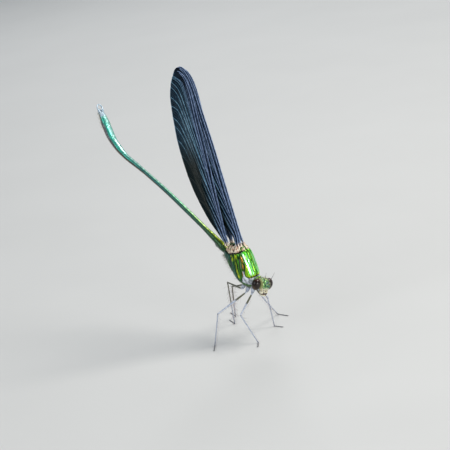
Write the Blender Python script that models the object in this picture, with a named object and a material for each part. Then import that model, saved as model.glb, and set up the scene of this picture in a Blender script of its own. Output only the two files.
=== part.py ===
"""A broad-winged damselfly, life size, standing still with its wings closed over its back.

The head points along +X, the left side is +Y and the feet rest at Z = 0. The origin is the centre of the
animal's outline on the floor. Sizes below are in millimetres and angles in degrees. Places in the body's
frame count forward, left and towards the back from the middle of the hips; its forward axis is pitched
nose down. Places in the head's frame count the same way from the point midway between the eyes.
"""

import math

import bmesh
import bpy
from mathutils import Matrix, Vector

MM = 0.001
GAP = 0.15  # between pieces that meet

HIPS = Vector((15.57, -1.1, 13.3))
BODY_PITCH = 27.5

# Thorax: the middle plane's lower and upper points, forward and up, and the half width of each section.
THORAX_SECTIONS = (
    ((1.75, -0.35), (2.05, 2.6), 1.35),
    ((1.3, -0.7), (1.75, 3.2), 1.75),
    ((0.15, -0.8), (1.1, 3.95), 2.15),
    ((-1.4, -0.65), (0.1, 5.0), 2.4),
    ((-3.0, 0.1), (-0.9, 6.1), 2.45),
    ((-4.55, 1.05), (-2.1, 7.1), 2.35),
    ((-5.75, 1.9), (-3.6, 7.5), 2.05),
    ((-6.5, 2.35), (-5.4, 6.75), 1.65),
    ((-6.9, 2.6), (-6.85, 5.7), 1.2),
)
COLLAR_SECTIONS = (
    ((1.95, 0.25), (2.25, 2.5), 1.1),
    ((2.3, -0.05), (2.5, 2.75), 1.2),
    ((2.62, 0.2), (2.8, 2.5), 1.05),
    ((2.85, 0.7), (2.95, 2.1), 0.75),
)
SECTION_SQUARENESS = 2.3
NECK_START, NECK_END, NECK_RADIUS = (3.08, 0, 1.4), (3.38, 0, 1.45), 0.42

HEAD_PLACE = (4.04, -0.18, 1.85)
HEAD_PITCH, HEAD_ROLL, HEAD_YAW = 8, -19, -2
EYE_SPREAD = 2.0
EYE_RADII = (1.0, 1.0, 1.3)
CAPSULE_HALF_WIDTH = 1.15
CAPSULE_FRONT, CAPSULE_BACK, CAPSULE_TOP, CAPSULE_BOTTOM = 1.5, 0.5, 1.45, 1.0
# The face swells forward around this direction, by this much, over this width.
FACE_ANGLE, FACE_SWELL, FACE_SPREAD, FACE_WIDTH = -12, 0.5, 36, 0.85
# Mouthparts and their half sizes in the head's frame; the mandible is the left one's.
MANDIBLE_PLACE, MANDIBLE_RADII = (0.65, 0.8, -1.62), (0.5, 0.36, 0.48)
LABRUM_PLACE, LABRUM_RADII = (1.35, 0, -1.36), (0.32, 0.6, 0.36)
LABIUM_PLACE, LABIUM_RADII = (0.75, 0, -2.3), (0.52, 0.6, 0.42)
ANTENNA_POINTS = ((1.2, 0.92, 0.98), (1.45, 1.15, 1.95), (1.7, 1.4, 2.9))
ANTENNA_RADII = (0.3, 0.26, 0.25)

# Abdomen: where it leaves the thorax, its ten segments' lengths, and its rise above level along its length.
ABDOMEN_START = (-7.1, 3.55)
SEGMENT_LENGTHS = (1.2, 2.6, 7.6, 8.3, 7.9, 6.8, 4.9, 2.7, 1.9, 1.2)
ABDOMEN_RISE = ((0, 40), (15, 38), (24, 34.5), (31.6, 31), (36.8, 51), (40.4, 71), (43.5, 74), (48, 64))
# Half widths along the abdomen.
ABDOMEN_GIRTH = (
    (0, 0.85), (1.4, 0.95), (3.6, 0.72), (8, 0.55), (26, 0.5), (33, 0.62), (37, 0.82), (40.5, 1.0),
    (42.5, 1.0), (44, 0.82), (45.1, 0.66),
)
PATH_STEP = 0.2
# Claspers: the upper pair starts beside the middle line, bows out from it and ends near it again.
CERCUS_LENGTH, CERCUS_RADIUS, CERCUS_LIFT = 2.1, 0.26, 0.34
CERCUS_START, CERCUS_BOW, CERCUS_TAPER = 0.34, 0.6, 0.2
LOWER_CLASPER_LENGTH, LOWER_CLASPER_RADIUS, LOWER_CLASPER_DROP = 1.1, 0.26, 0.36

WING_THICKNESS = 0.5
FOREWING_LENGTH, HINDWING_LENGTH = 40.2, 38.8
FOREWING_RISE, HINDWING_RISE = 76, 81.3
FOREWING_ROOT, HINDWING_ROOT = (-3.8, 7.85), (-6.85, 6.2)
FOREWING_SIDE, HINDWING_SIDE = 0.33, 0.98
# Wing outline: share of the wing's length, and millimetres behind the line from root to tip.
WING_EDGE = (
    (0.0, -0.1), (0.27, -0.75), (0.53, -1.45), (0.70, -1.7), (0.87, -1.9), (0.96, -1.25), (1.0, 0.4),
    (0.975, 2.4), (0.88, 4.6), (0.74, 5.8), (0.56, 6.5), (0.34, 5.9), (0.16, 3.9), (0.05, 1.8), (0.0, 0.9),
)

COXA_RADIUS, THIGH_RADIUS, SHIN_RADIUS, FOOT_SIZE = 0.5, 0.32, 0.25, 0.5
TROCHANTER_LENGTH = 0.2  # from the end of the coxa to the point that the thigh turns about
HEEL_HEIGHT = 0.42
FOOT_WIDTHS = ((0, 0.96), (0.5, 1.0), (0.85, 1.04), (1, 0.98))  # share of its length, share of its width
# Legs in pairs: where the left coxa and thigh start in the body's frame, and the lengths of thigh, shin, foot.
LEG_PAIRS = {
    "front": {"coxa": (2.45, 0.62, -0.2), "hip": (2.75, 1.05, -1.0), "lengths": (5.4, 7.1, 2.0)},
    "middle": {"coxa": (1.25, 0.75, -0.75), "hip": (1.45, 1.3, -1.45), "lengths": (7.85, 7.8, 2.6)},
    "hind": {"coxa": (0.05, 0.8, -0.8), "hip": (0.2, 1.35, -1.4), "lengths": (8.0, 11.15, 2.7)},
}
# Where each foot stands from the hips' middle: its heel, the way its toes point, and where its knee leans.
STANCE = {
    ("front", "right"): {"heel": (3.0, -2.85), "toes": -52, "knee": (0.6, -4.4, 6.9)},
    ("middle", "right"): {"heel": (-5.45, -7.8), "toes": -52, "knee": (-3.2, -7.5, 7.9)},
    ("hind", "right"): {"heel": (-9.75, 3.75), "toes": 155, "knee": (-7.8, 1.7, 11.2)},
    ("front", "left"): {"heel": (0.3, 5.95), "toes": 8, "knee": (0.5, 5.0, 7.45)},
    ("middle", "left"): {"heel": (-3.55, 11.8), "toes": 3, "knee": (-0.7, 6.2, 5.1)},
    ("hind", "left"): {"heel": (-12.65, 7.3), "toes": 155, "knee": (-8.0, 3.15, 9.65)},
}

# Base colour, roughness and metallic value.
COLOURS = {
    "green_shell": ((0.10, 0.34, 0.05), 0.28, 0.85),
    "teal_shell": ((0.02, 0.16, 0.11), 0.32, 0.8),
    "eye": ((0.03, 0.014, 0.008), 0.12, 0.0),
    "leg": ((0.10, 0.13, 0.16), 0.35, 0.3),
    "mouth": ((0.45, 0.42, 0.28), 0.4, 0.0),
    "wing": ((0.015, 0.03, 0.06), 0.25, 0.3),
}


def clear_scene():
    for thing in list(bpy.data.objects):
        bpy.data.objects.remove(thing, do_unlink=True)


def make_material(name):
    colour, roughness, metallic = COLOURS[name]
    material = bpy.data.materials.new(name)
    material.use_nodes = True
    shader = material.node_tree.nodes["Principled BSDF"]
    shader.inputs["Base Color"].default_value = (*colour, 1)
    shader.inputs["Roughness"].default_value = roughness
    shader.inputs["Metallic"].default_value = metallic
    return material


def turn(axis, degrees):
    return Matrix.Rotation(math.radians(degrees), 4, axis)


def make_frame(name, place, rotation):
    """An empty that carries pieces: place in millimetres, rotation as a 4x4 matrix."""
    frame = bpy.data.objects.new(name, None)
    frame.matrix_world = Matrix.Translation(Vector(place) * MM) @ rotation
    COLLECTION.objects.link(frame)
    bpy.context.view_layer.update()
    return frame


def add_piece(name, data, colour, frame=None):
    piece = bpy.data.objects.new(name, data)
    data.materials.append(MATERIALS[colour])
    COLLECTION.objects.link(piece)
    piece.parent = frame
    return piece


def add_mesh(name, build, colour, frame=None):
    """Makes an object from a bmesh in millimetres, with its faces pointing out."""
    bmesh.ops.scale(build, vec=(MM, MM, MM), verts=build.verts)
    bmesh.ops.recalc_face_normals(build, faces=build.faces)
    mesh = bpy.data.meshes.new(name)
    build.to_mesh(mesh)
    build.free()
    mesh.shade_smooth()
    mesh.set_sharp_from_angle(angle=math.radians(50))
    return add_piece(name, mesh, colour, frame)


def add_rod(name, points, radii, colour, frame=None):
    """A round limb with flat ends through a few points, with a radius at each."""
    curve = bpy.data.curves.new(name, "CURVE")
    curve.dimensions = "3D"
    curve.bevel_depth = MM
    curve.bevel_resolution = 2
    curve.use_fill_caps = True
    spline = curve.splines.new("POLY")
    spline.points.add(len(points) - 1)
    for knot, point, radius in zip(spline.points, points, radii):
        knot.co = (*(Vector(point) * MM), 1)
        knot.radius = radius
    return add_piece(name, curve, colour, frame)


def even_points(start, end, count):
    return [Vector(start).lerp(Vector(end), i / (count - 1)) for i in range(count)]


def between(table, x):
    """Reads a table of (x, value) pairs with smooth steps between them."""
    for (x0, y0), (x1, y1) in zip(table, table[1:]):
        if x <= x1:
            t = max(0.0, (x - x0) / (x1 - x0))
            return y0 + (y1 - y0) * t * t * (3 - 2 * t)
    return table[-1][1]


def oval(centre, across, upward, count, start=0.0, squareness=2.0):
    """A ring of points round a centre; across and upward are the ring's half axes."""
    ring = []
    for i in range(count):
        angle = 2 * math.pi * i / count + start
        c, s = math.cos(angle), math.sin(angle)
        x = math.copysign(abs(c) ** (2 / squareness), c)
        y = math.copysign(abs(s) ** (2 / squareness), s)
        ring.append(Vector(centre) + Vector(across) * x + Vector(upward) * y)
    return ring


def loft(name, rings, colour, frame=None):
    """Skins rings of equal count and closes both ends."""
    build = bmesh.new()
    loops = [[build.verts.new(point) for point in ring] for ring in rings]
    count = len(loops[0])
    for first, second in zip(loops, loops[1:]):
        for i in range(count):
            j = (i + 1) % count
            build.faces.new((first[i], first[j], second[j], second[i]))
    build.faces.new(loops[0])
    build.faces.new(loops[-1])
    return add_mesh(name, build, colour, frame)


def ellipsoid(name, centre, radii, colour, frame, cut_y=None, segments=12, rows=6):
    """A ball stretched to its radii; cut_y leaves only the part beyond that distance from the middle plane."""
    build = bmesh.new()
    bmesh.ops.create_uvsphere(build, u_segments=segments, v_segments=rows, radius=1)
    bmesh.ops.scale(build, vec=radii, verts=build.verts)
    bmesh.ops.translate(build, vec=centre, verts=build.verts)
    if cut_y is not None:
        side = math.copysign(1, centre[1])
        cut = bmesh.ops.bisect_plane(
            build,
            geom=build.verts[:] + build.edges[:] + build.faces[:],
            plane_co=(0, side * cut_y, 0),
            plane_no=(0, side, 0),
            clear_inner=True,
        )
        rim = [item for item in cut["geom_cut"] if isinstance(item, bmesh.types.BMEdge)]
        bmesh.ops.edgeloop_fill(build, edges=rim)
    return add_mesh(name, build, colour, frame)


def upright_section(bottom, top, half_width, count):
    """A cross-section of the thorax: it spans from bottom to top in the middle plane."""
    low, high = Vector((bottom[0], 0, bottom[1])), Vector((top[0], 0, top[1]))
    return oval((low + high) / 2, (0, half_width, 0), (high - low) / 2, count, 0, SECTION_SQUARENESS)


def make_thorax(body):
    """The skewed box of the wing muscles, which leans back over the legs, and the collar and neck before it."""
    loft("synthorax", [upright_section(*section, 16) for section in THORAX_SECTIONS], "green_shell", body)
    loft("prothorax", [upright_section(*section, 12) for section in COLLAR_SECTIONS], "green_shell", body)
    add_rod("neck", (NECK_START, NECK_END), (NECK_RADIUS, NECK_RADIUS), "leg", body)


def capsule_ring(y):
    """The head's outline at a distance from its middle plane: the face swells most in the middle."""
    share = abs(y) / CAPSULE_HALF_WIDTH
    front, back = CAPSULE_FRONT * (1 - 0.42 * share**2), CAPSULE_BACK * (1 + 0.1 * share)
    top, bottom = CAPSULE_TOP * (1 - 0.13 * share), CAPSULE_BOTTOM * (1 - 0.05 * share)
    ring = []
    for degrees in range(-180, 180, 20):
        c, s = math.cos(math.radians(degrees)), math.sin(math.radians(degrees))
        swell = FACE_SWELL * math.exp(-(((degrees - FACE_ANGLE) / FACE_SPREAD) ** 2) - (y / FACE_WIDTH) ** 2)
        x = c * ((front if c > 0 else back) + swell)
        z = s * ((top if s > 0 else bottom) + swell)
        ring.append(Vector((x, y, z)))
    return ring


def make_head(head):
    steps = (-1.0, -0.72, -0.4, 0, 0.4, 0.72, 1.0)
    loft("head", [capsule_ring(step * CAPSULE_HALF_WIDTH) for step in steps], "green_shell", head)
    ellipsoid("labrum", LABRUM_PLACE, LABRUM_RADII, "mouth", head)
    ellipsoid("labium", LABIUM_PLACE, LABIUM_RADII, "mouth", head)
    for side, sign in (("left", 1), ("right", -1)):
        mirror = Vector((1, sign, 1))
        eye_place = (0, sign * EYE_SPREAD, 0)
        ellipsoid(f"eye_{side}", eye_place, EYE_RADII, "eye", head, CAPSULE_HALF_WIDTH + GAP, 18, 10)
        ellipsoid(f"mandible_{side}", Vector(MANDIBLE_PLACE) * mirror, MANDIBLE_RADII, "mouth", head)
        add_rod(f"antenna_{side}", [Vector(p) * mirror for p in ANTENNA_POINTS], ANTENNA_RADII, "leg", head)


def abdomen_path(body):
    """Distances, points and backward directions along the abdomen's middle line, from the thorax to its tip."""
    point = body.matrix_world @ (Vector((ABDOMEN_START[0], 0, ABDOMEN_START[1])) * MM) / MM
    path = []
    for i in range(round((sum(SEGMENT_LENGTHS) + CERCUS_LENGTH) / PATH_STEP) + 2):
        rise = math.radians(between(ABDOMEN_RISE, i * PATH_STEP))
        back = Vector((-math.cos(rise), 0, math.sin(rise)))
        path.append((i * PATH_STEP, point, back))
        point = point + back * PATH_STEP
    return path


def along_abdomen(path, distance):
    """The middle line's point and its backward and upward directions at a distance from the thorax."""
    start, point, back = path[int(distance / PATH_STEP)]
    return point + back * (distance - start), back, Vector((back.z, 0, -back.x))


def make_abdomen(body):
    path = abdomen_path(body)
    start = 0.0
    for number, length in enumerate(SEGMENT_LENGTHS, 1):
        count = 4 if length < 5 else 6
        first, last = start + GAP / 2, start + length - GAP / 2
        distances = [first + (last - first) * i / (count - 1) for i in range(count)]
        points = [along_abdomen(path, distance)[0] for distance in distances]
        radii = [between(ABDOMEN_GIRTH, distance) for distance in distances]
        add_rod(f"abdomen_{number:02d}", points, radii, "teal_shell")
        start += length
    make_claspers(*along_abdomen(path, start))


def make_claspers(root, back, upward):
    """The upper pair curves out and in again like forceps, and the lower pair is short and straight."""
    for side, sign in (("left", 1), ("right", -1)):
        points, radii = [], []
        for i in range(7):
            t = i / 6
            bow = CERCUS_START * (1 - 0.15 * t) + CERCUS_BOW * math.sin(math.pi * t)
            points.append(
                root + back * (GAP / 2 + CERCUS_LENGTH * t) + upward * CERCUS_LIFT + Vector((0, sign * bow, 0))
            )
            radii.append(CERCUS_RADIUS * (1 + CERCUS_TAPER / 2 - CERCUS_TAPER * t))
        add_rod(f"cercus_{side}", points, radii, "teal_shell")
        low = root - upward * LOWER_CLASPER_DROP + Vector((0, sign * CERCUS_START, 0))
        ends = (low + back * GAP / 2, low + back * LOWER_CLASPER_LENGTH)
        add_rod(f"lower_clasper_{side}", ends, [LOWER_CLASPER_RADIUS] * 2, "teal_shell")


def make_wing(name, body, root, length, rise, side):
    """A flat plate whose outline lies in the animal's middle plane, moved out to its side."""
    curve = bpy.data.curves.new(name, "CURVE")
    curve.dimensions = "2D"
    curve.fill_mode = "BOTH"
    curve.extrude = WING_THICKNESS / 2 * MM
    curve.resolution_u = 4
    edge = curve.splines.new("BEZIER")
    edge.bezier_points.add(len(WING_EDGE) - 1)
    for point, (share, behind) in zip(edge.bezier_points, WING_EDGE):
        point.co = Vector((share * length, behind, 0)) * MM
        point.handle_left_type = point.handle_right_type = "AUTO"
    edge.use_cyclic_u = True
    wing = add_piece(name, curve, "wing")
    angle = math.radians(rise)
    along = Vector((-math.cos(angle), 0, math.sin(angle)))
    behind = Vector((-math.sin(angle), 0, -math.cos(angle)))
    plane = Matrix((along, behind, along.cross(behind))).transposed().to_4x4()
    place = body.matrix_world @ (Vector((root[0], 0, root[1])) * MM) + Vector((0, side * MM, 0))
    wing.matrix_world = Matrix.Translation(place) @ plane


def make_wings(body):
    for side, sign in (("left", 1), ("right", -1)):
        make_wing(f"forewing_{side}", body, FOREWING_ROOT, FOREWING_LENGTH, FOREWING_RISE, sign * FOREWING_SIDE)
        make_wing(f"hindwing_{side}", body, HINDWING_ROOT, HINDWING_LENGTH, HINDWING_RISE, sign * HINDWING_SIDE)


def find_knee(hip, heel, thigh, shin, lean):
    """Where two limbs of known length meet, bent towards a point."""
    reach = heel - hip
    distance = min(reach.length, (thigh + shin) * 0.999)
    reach.normalize()
    along = (thigh**2 - shin**2 + distance**2) / (2 * distance)
    out = math.sqrt(max(0.0, thigh**2 - along**2))
    side = (lean - hip) - reach * (lean - hip).dot(reach)
    return hip + reach * along + side.normalized() * out


def make_foot(name, heel, length, toes):
    """A slim foot with a flat sole on the floor, a little wider at its claws."""
    along = turn("Z", toes).to_3x3() @ Vector((1, 0, 0))
    across = turn("Z", toes).to_3x3() @ Vector((0, 1, 0))
    half = FOOT_SIZE / 2
    corner = half / math.cos(math.pi / 8)
    first = SHIN_RADIUS + GAP
    rings = []
    for share, widen in FOOT_WIDTHS:
        centre = Vector((heel.x, heel.y, half)) + along * (first + (length - first) * share)
        rings.append(oval(centre, across * corner * widen, Vector((0, 0, corner)), 8, math.pi / 8))
    loft(name, rings, "leg")


def make_leg(body, pair, side, stance):
    mirror = Vector((1, 1 if side == "left" else -1, 1))
    coxa, joint = (Vector(LEG_PAIRS[pair][key]) * mirror for key in ("coxa", "hip"))
    thigh, shin, foot = LEG_PAIRS[pair]["lengths"]
    name = f"leg_{pair}_{side}"
    coxa_radii = [COXA_RADIUS * share for share in (0.9, 1, 0.7)]
    add_rod(f"{name}_coxa", even_points(coxa, joint, 3), coxa_radii, "leg", body)
    hip = body.matrix_world @ ((joint + (joint - coxa).normalized() * TROCHANTER_LENGTH) * MM) / MM
    heel = Vector((HIPS.x + stance["heel"][0], HIPS.y + stance["heel"][1], HEEL_HEIGHT))
    lean = Vector((HIPS.x, HIPS.y, 0)) + Vector(stance["knee"])
    knee = find_knee(hip, heel, thigh, shin, lean)
    thigh_start = hip + (knee - hip).normalized() * (GAP + TROCHANTER_LENGTH / 2)
    thigh_radii = [THIGH_RADIUS * share for share in (0.85, 1, 0.9, 0.85)]
    add_rod(f"{name}_femur", even_points(thigh_start, knee, 4), thigh_radii, "leg")
    shin_start = knee + (heel - knee).normalized() * (THIGH_RADIUS + GAP)
    add_rod(f"{name}_tibia", (shin_start, heel), (SHIN_RADIUS * 1.1, SHIN_RADIUS), "leg")
    make_foot(f"{name}_tarsus", heel, foot, stance["toes"])


clear_scene()
COLLECTION = bpy.data.collections.new("damselfly")
bpy.context.scene.collection.children.link(COLLECTION)
MATERIALS = {name: make_material(name) for name in COLOURS}

body_frame = make_frame("body_frame", HIPS, turn("Y", BODY_PITCH))
head_place = body_frame.matrix_world @ (Vector(HEAD_PLACE) * MM) / MM
head_turn = turn("Z", HEAD_YAW) @ turn("Y", HEAD_PITCH) @ turn("X", HEAD_ROLL)
head_frame = make_frame("head_frame", head_place, head_turn)

make_thorax(body_frame)
make_head(head_frame)
make_abdomen(body_frame)
make_wings(body_frame)
for (leg_pair, leg_side), leg_stance in STANCE.items():
    make_leg(body_frame, leg_pair, leg_side, leg_stance)
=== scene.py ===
"""The looks of a life-size damselfly: shells, wings, eyes, legs and hairs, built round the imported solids.

Sizes are in millimetres and angles in degrees. The head points along +X, the left side is +Y and the feet
rest at Z = 0. Places in the body's frame count forward, left and towards the back from the middle of the
hips; places in the head's frame count the same way from the point midway between the eyes.
"""

import math

import bpy
import numpy as np
from mathutils import Matrix, Vector, noise


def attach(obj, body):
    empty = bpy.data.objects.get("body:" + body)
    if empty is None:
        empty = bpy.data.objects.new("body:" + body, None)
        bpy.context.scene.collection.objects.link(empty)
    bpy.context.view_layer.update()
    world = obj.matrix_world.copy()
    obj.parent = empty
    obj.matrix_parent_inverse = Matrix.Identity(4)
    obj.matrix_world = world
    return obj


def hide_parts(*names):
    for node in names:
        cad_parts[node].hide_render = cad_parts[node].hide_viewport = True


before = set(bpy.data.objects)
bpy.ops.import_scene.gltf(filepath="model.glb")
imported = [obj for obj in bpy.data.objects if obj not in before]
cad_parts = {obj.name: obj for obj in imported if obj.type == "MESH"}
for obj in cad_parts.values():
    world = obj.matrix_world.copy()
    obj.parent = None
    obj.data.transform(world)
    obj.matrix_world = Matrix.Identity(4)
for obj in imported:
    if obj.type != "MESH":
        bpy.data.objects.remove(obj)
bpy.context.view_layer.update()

MM = 0.001
RANDOM = np.random.default_rng(7)
SIDES = (("left", 1), ("right", -1))

# Camera: the way it looks, where it aims, how far off it stands and its lens, in millimetres.
CAMERA_AZIMUTH, CAMERA_ELEVATION, CAMERA_ROLL = 44.69, 17.43, -9.48
CAMERA_AIM, CAMERA_DISTANCE, CAMERA_LENS = (7.0, 3.58, 23.68), 330, 118.93

# The two frames that the solids were built in.
HIPS, BODY_PITCH = np.array((15.57, -1.1, 13.3)), 27.5
HEAD_PLACE = (4.04, -0.18, 1.85)
HEAD_PITCH, HEAD_ROLL, HEAD_YAW = 8, -19, -2

# Thorax sections: the middle plane's lower and upper points, forward and up, and the half width.
THORAX_SECTIONS = (
    (1.75, -0.35, 2.05, 2.6, 1.35),
    (1.3, -0.7, 1.75, 3.2, 1.75),
    (0.15, -0.8, 1.1, 3.95, 2.15),
    (-1.4, -0.65, 0.1, 5.0, 2.4),
    (-3.0, 0.1, -0.9, 6.1, 2.45),
    (-4.55, 1.05, -2.1, 7.1, 2.35),
    (-5.75, 1.9, -3.6, 7.5, 2.05),
    (-6.5, 2.35, -5.4, 6.75, 1.65),
    (-6.9, 2.6, -6.85, 5.7, 1.2),
)
COLLAR_SECTIONS = (
    (1.95, 0.25, 2.25, 2.5, 1.1),
    (2.3, -0.05, 2.5, 2.75, 1.2),
    (2.62, 0.2, 2.8, 2.5, 1.05),
    (2.85, 0.7, 2.95, 2.1, 0.75),
)
SECTION_SQUARENESS = 2.3
# Rows and columns of points on the skins.
THORAX_GRID, COLLAR_GRID, HEAD_GRID, SHEET_GRID = (150, 260), (60, 96), (91, 140), (190, 46)
ABDOMEN_COLUMNS = 36

# Seams of the thorax and its bands of colour, seen from the side: forward and up.
HUMERAL_SEAM = ((0.6, 2.55), (0.15, 3.2), (-0.35, 4.4), (-0.95, 5.3), (-1.7, 6.0), (-2.5, 6.6))
FIRST_SIDE_SEAM = ((-0.1, 1.0), (-0.45, 2.0), (-1.1, 3.4), (-1.85, 4.8), (-2.6, 6.2))
SECOND_SIDE_SEAM = ((-0.7, 0.5), (-1.5, 1.9), (-2.25, 3.0), (-3.05, 4.2), (-3.8, 5.4))
REAR_SEAM = ((-3.3, 1.4), (-3.8, 2.5), (-4.25, 3.7), (-4.7, 4.8))
SIDE_SEAMS = (HUMERAL_SEAM, FIRST_SIDE_SEAM, SECOND_SIDE_SEAM, REAR_SEAM)
SHOULDER_EDGE = ((0.05, 3.4), (0.5, 2.6), (1.1, 2.35), (1.6, 2.45), (2.2, 2.75))
WING_LINE = ((-2.1, 7.3), (-2.75, 6.6), (-3.7, 5.85), (-4.8, 4.95), (-5.7, 4.65), (-7.2, 4.4))
PALE_BAND = ((-3.3, 5.9), (-2.75, 4.9), (-2.15, 3.8), (-1.6, 2.7), (-0.8, 1.5))
PALE_TOP = ((-4.25, 5.15), (-3.65, 4.3))
TEAL_BAND = ((-4.5, 4.3), (-3.3, 3.0), (-2.1, 1.7), (-0.9, 0.3))
WARM_BAND = ((-1.95, 5.95), (-1.2, 5.15), (-0.62, 4.2), (-0.1, 2.9), (0.1, 2.3))
ASH_BAND = ((-1.9, 5.3), (-1.35, 4.6), (-0.9, 3.8))


def turned(axis, degrees):
    return np.array(Matrix.Rotation(math.radians(degrees), 3, axis))


BODY_TURN = turned("Y", BODY_PITCH)
HEAD_TURN = turned("Z", HEAD_YAW) @ turned("Y", HEAD_PITCH) @ turned("X", HEAD_ROLL)
HEAD_CENTRE = HIPS + BODY_TURN @ HEAD_PLACE


def in_body(points):
    return HIPS + np.asarray(points, float) @ BODY_TURN.T


def in_head(points):
    return HEAD_CENTRE + np.asarray(points, float) @ HEAD_TURN.T


# Curves and measures


def unit(vectors):
    vectors = np.asarray(vectors, float)
    return vectors / np.maximum(np.linalg.norm(vectors, axis=-1, keepdims=True), 1e-12)


def spline(table, places):
    """Reads a smooth curve through a table's rows, at places counted in rows."""
    table, places = np.asarray(table, float), np.asarray(places, float)
    row = np.clip(places.astype(int), 0, len(table) - 2)
    t = (places - row)[:, None]
    before, first, second, after = (table[np.clip(row + i, 0, len(table) - 1)] for i in (-1, 0, 1, 2))
    slope = second - before
    bend = 2 * before - 5 * first + 4 * second - after
    twist = 3 * first - before - 3 * second + after
    return first + 0.5 * (slope * t + bend * t**2 + twist * t**3)


def curve(points, count):
    return spline(points, np.linspace(0, len(points) - 1, count))


def rounded(points, rounds):
    """Cuts a path's corners again and again until it is smooth."""
    points = np.asarray(points, float)
    for _ in range(rounds):
        cuts = np.stack([points[:-1] * 0.75 + points[1:] * 0.25, points[:-1] * 0.25 + points[1:] * 0.75], 1)
        points = np.vstack([points[:1], cuts.reshape(-1, points.shape[1]), points[-1:]])
    return points


def capped(values):
    """Keeps values between 0 and 1."""
    return np.clip(values, 0, 1)


def between(table, x):
    """Reads a table of (x, value) pairs with smooth steps between them."""
    table, x = np.asarray(table, float), np.asarray(x, float)
    row = np.clip(np.searchsorted(table[:, 0], x) - 1, 0, len(table) - 2)
    start, end = table[row], table[row + 1]
    t = capped((x - start[..., 0]) / (end[..., 0] - start[..., 0]))
    return start[..., 1] + (end[..., 1] - start[..., 1]) * t * t * (3 - 2 * t)


def line_distance(points, line):
    """How far 2-D points lie from a smooth line through a few points."""
    line = curve(line, 40)
    starts, steps = line[:-1], np.diff(line, axis=0)
    away = points[..., None, :] - starts
    t = capped((away * steps).sum(-1) / (steps * steps).sum(-1))
    return np.linalg.norm(away - t[..., None] * steps, axis=-1).min(-1)


def near_line(points, line, width):
    """1 on a line and falling to 0 about a width away from it."""
    return bump(line_distance(points, line), 0, width)


def step(x, start, end):
    """Rises smoothly from 0 at start to 1 at end."""
    t = capped((np.asarray(x, float) - start) / (end - start))
    return t * t * (3 - 2 * t)


def fall(x, start, end):
    """Falls smoothly from 1 at start to 0 at end."""
    return 1 - step(x, start, end)


def bump(x, middle, width):
    """1 in the middle and falling to 0 about a width away."""
    return np.exp(-(((x - middle) / width) ** 2))


def ripples(points, sizes):
    """Soft random waves at 3-D points, about -0.5 to 0.5, with their size along each axis."""
    places = (np.asarray(points) / sizes).reshape(-1, 3)
    return np.array([noise.noise(place) for place in places.tolist()]).reshape(points.shape[:-1])


# Shapes


def on_side(points, sign):
    """Points of the left side, or their mirror images on the right."""
    return np.asarray(points) * (1, sign, 1)


class Shape:
    """The points and faces of one piece in millimetres, with named values at its points."""

    def __init__(self):
        self.chunks, self.faces, self.count = [], [], 0

    def add(self, points, faces, uv=None, **values):
        points = np.asarray(points, float).reshape(-1, 3)
        self.chunks.append((points, uv, values))
        self.faces += [[corner + self.count for corner in face] for face in faces]
        self.count += len(points)

    def value(self, name):
        parts = [np.broadcast_to(values.get(name, 0.0), len(points)) for points, _, values in self.chunks]
        return np.concatenate(parts).astype(np.float32)

    def names(self):
        return sorted({name for _, _, values in self.chunks for name in values})


def grid_faces(rows, columns):
    """Faces between closed rings that follow each other."""
    row = np.arange(rows - 1)[:, None] * columns
    column = np.arange(columns)[None, :]
    after = (column + 1) % columns
    corners = [row + column, row + after, row + after + columns, row + column + columns]
    return np.stack(corners, -1).reshape(-1, 4)


def add_loft(shape, rings, **values):
    """A closed skin over closed rings of equal count, facing outward."""
    rows, columns = rings.shape[:2]
    around = np.arange(columns)
    after = (around + 1) % columns
    first, last = np.full(columns, rows * columns), np.full(columns, rows * columns + 1)
    tail = (rows - 1) * columns
    quads = grid_faces(rows, columns)
    fans = np.stack([after, around, first], -1), np.stack([tail + around, tail + after, last], -1)
    points = np.vstack([rings.reshape(-1, 3), rings[0].mean(0), rings[-1].mean(0)])
    corners = points[quads] - points.mean(0)
    facing = np.cross(corners[:, 1] - corners[:, 0], corners[:, 3] - corners[:, 0])
    order = -1 if (corners[:, 0] * facing).sum() < 0 else 1
    faces = [face[::order] for part in (quads, *fans) for face in part.tolist()]
    named = {}
    for name, value in values.items():
        grid = np.broadcast_to(value, (rows, columns))
        named[name] = np.concatenate([grid.ravel(), (grid[0].mean(), grid[-1].mean())])
    shape.add(points, faces, **named)


PATCH, PATCH_SEED = 0.003, 3  # the width of one hair's patch on the skin's unwrap, and its random seed


def add_tubes(shape, paths, radii, sides, reference, uv=None, **values):
    """Many closed tubes at once. Paths are (limbs, points, 3) and radii (limbs, points) or fewer."""
    paths = np.asarray(paths, float)
    limbs, count = paths.shape[:2]
    radii = np.broadcast_to(radii, (limbs, count))
    along = unit(np.gradient(paths, axis=1))
    reference = np.broadcast_to(np.asarray(reference, float), (limbs, 3))[:, None]
    across = unit(np.cross(along, reference))
    upward = np.cross(along, across)
    angle = 2 * np.pi * np.arange(sides) / sides
    spokes = across[:, :, None] * np.cos(angle)[:, None] + upward[:, :, None] * np.sin(angle)[:, None]
    points = paths[:, :, None] + spokes * radii[:, :, None, None]
    size = count * sides
    starts = np.arange(limbs)[:, None, None] * size
    walls = (grid_faces(count, sides)[None] + starts).reshape(-1, 4)
    ends = np.stack([np.arange(sides)[::-1], np.arange(sides) + size - sides])
    ends = (ends[None] + starts).reshape(-1, sides)
    if uv is not None:
        spread = np.random.default_rng(PATCH_SEED).random((size, 2))
        uv = np.repeat(uv, size, axis=0) + PATCH * np.tile(spread, (limbs, 1))
    named = {}
    for name, value in values.items():
        named[name] = np.broadcast_to(np.asarray(value)[..., None], (limbs, count, sides)).ravel()
    shape.add(points, walls.tolist() + ends.tolist(), uv, **named)


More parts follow.
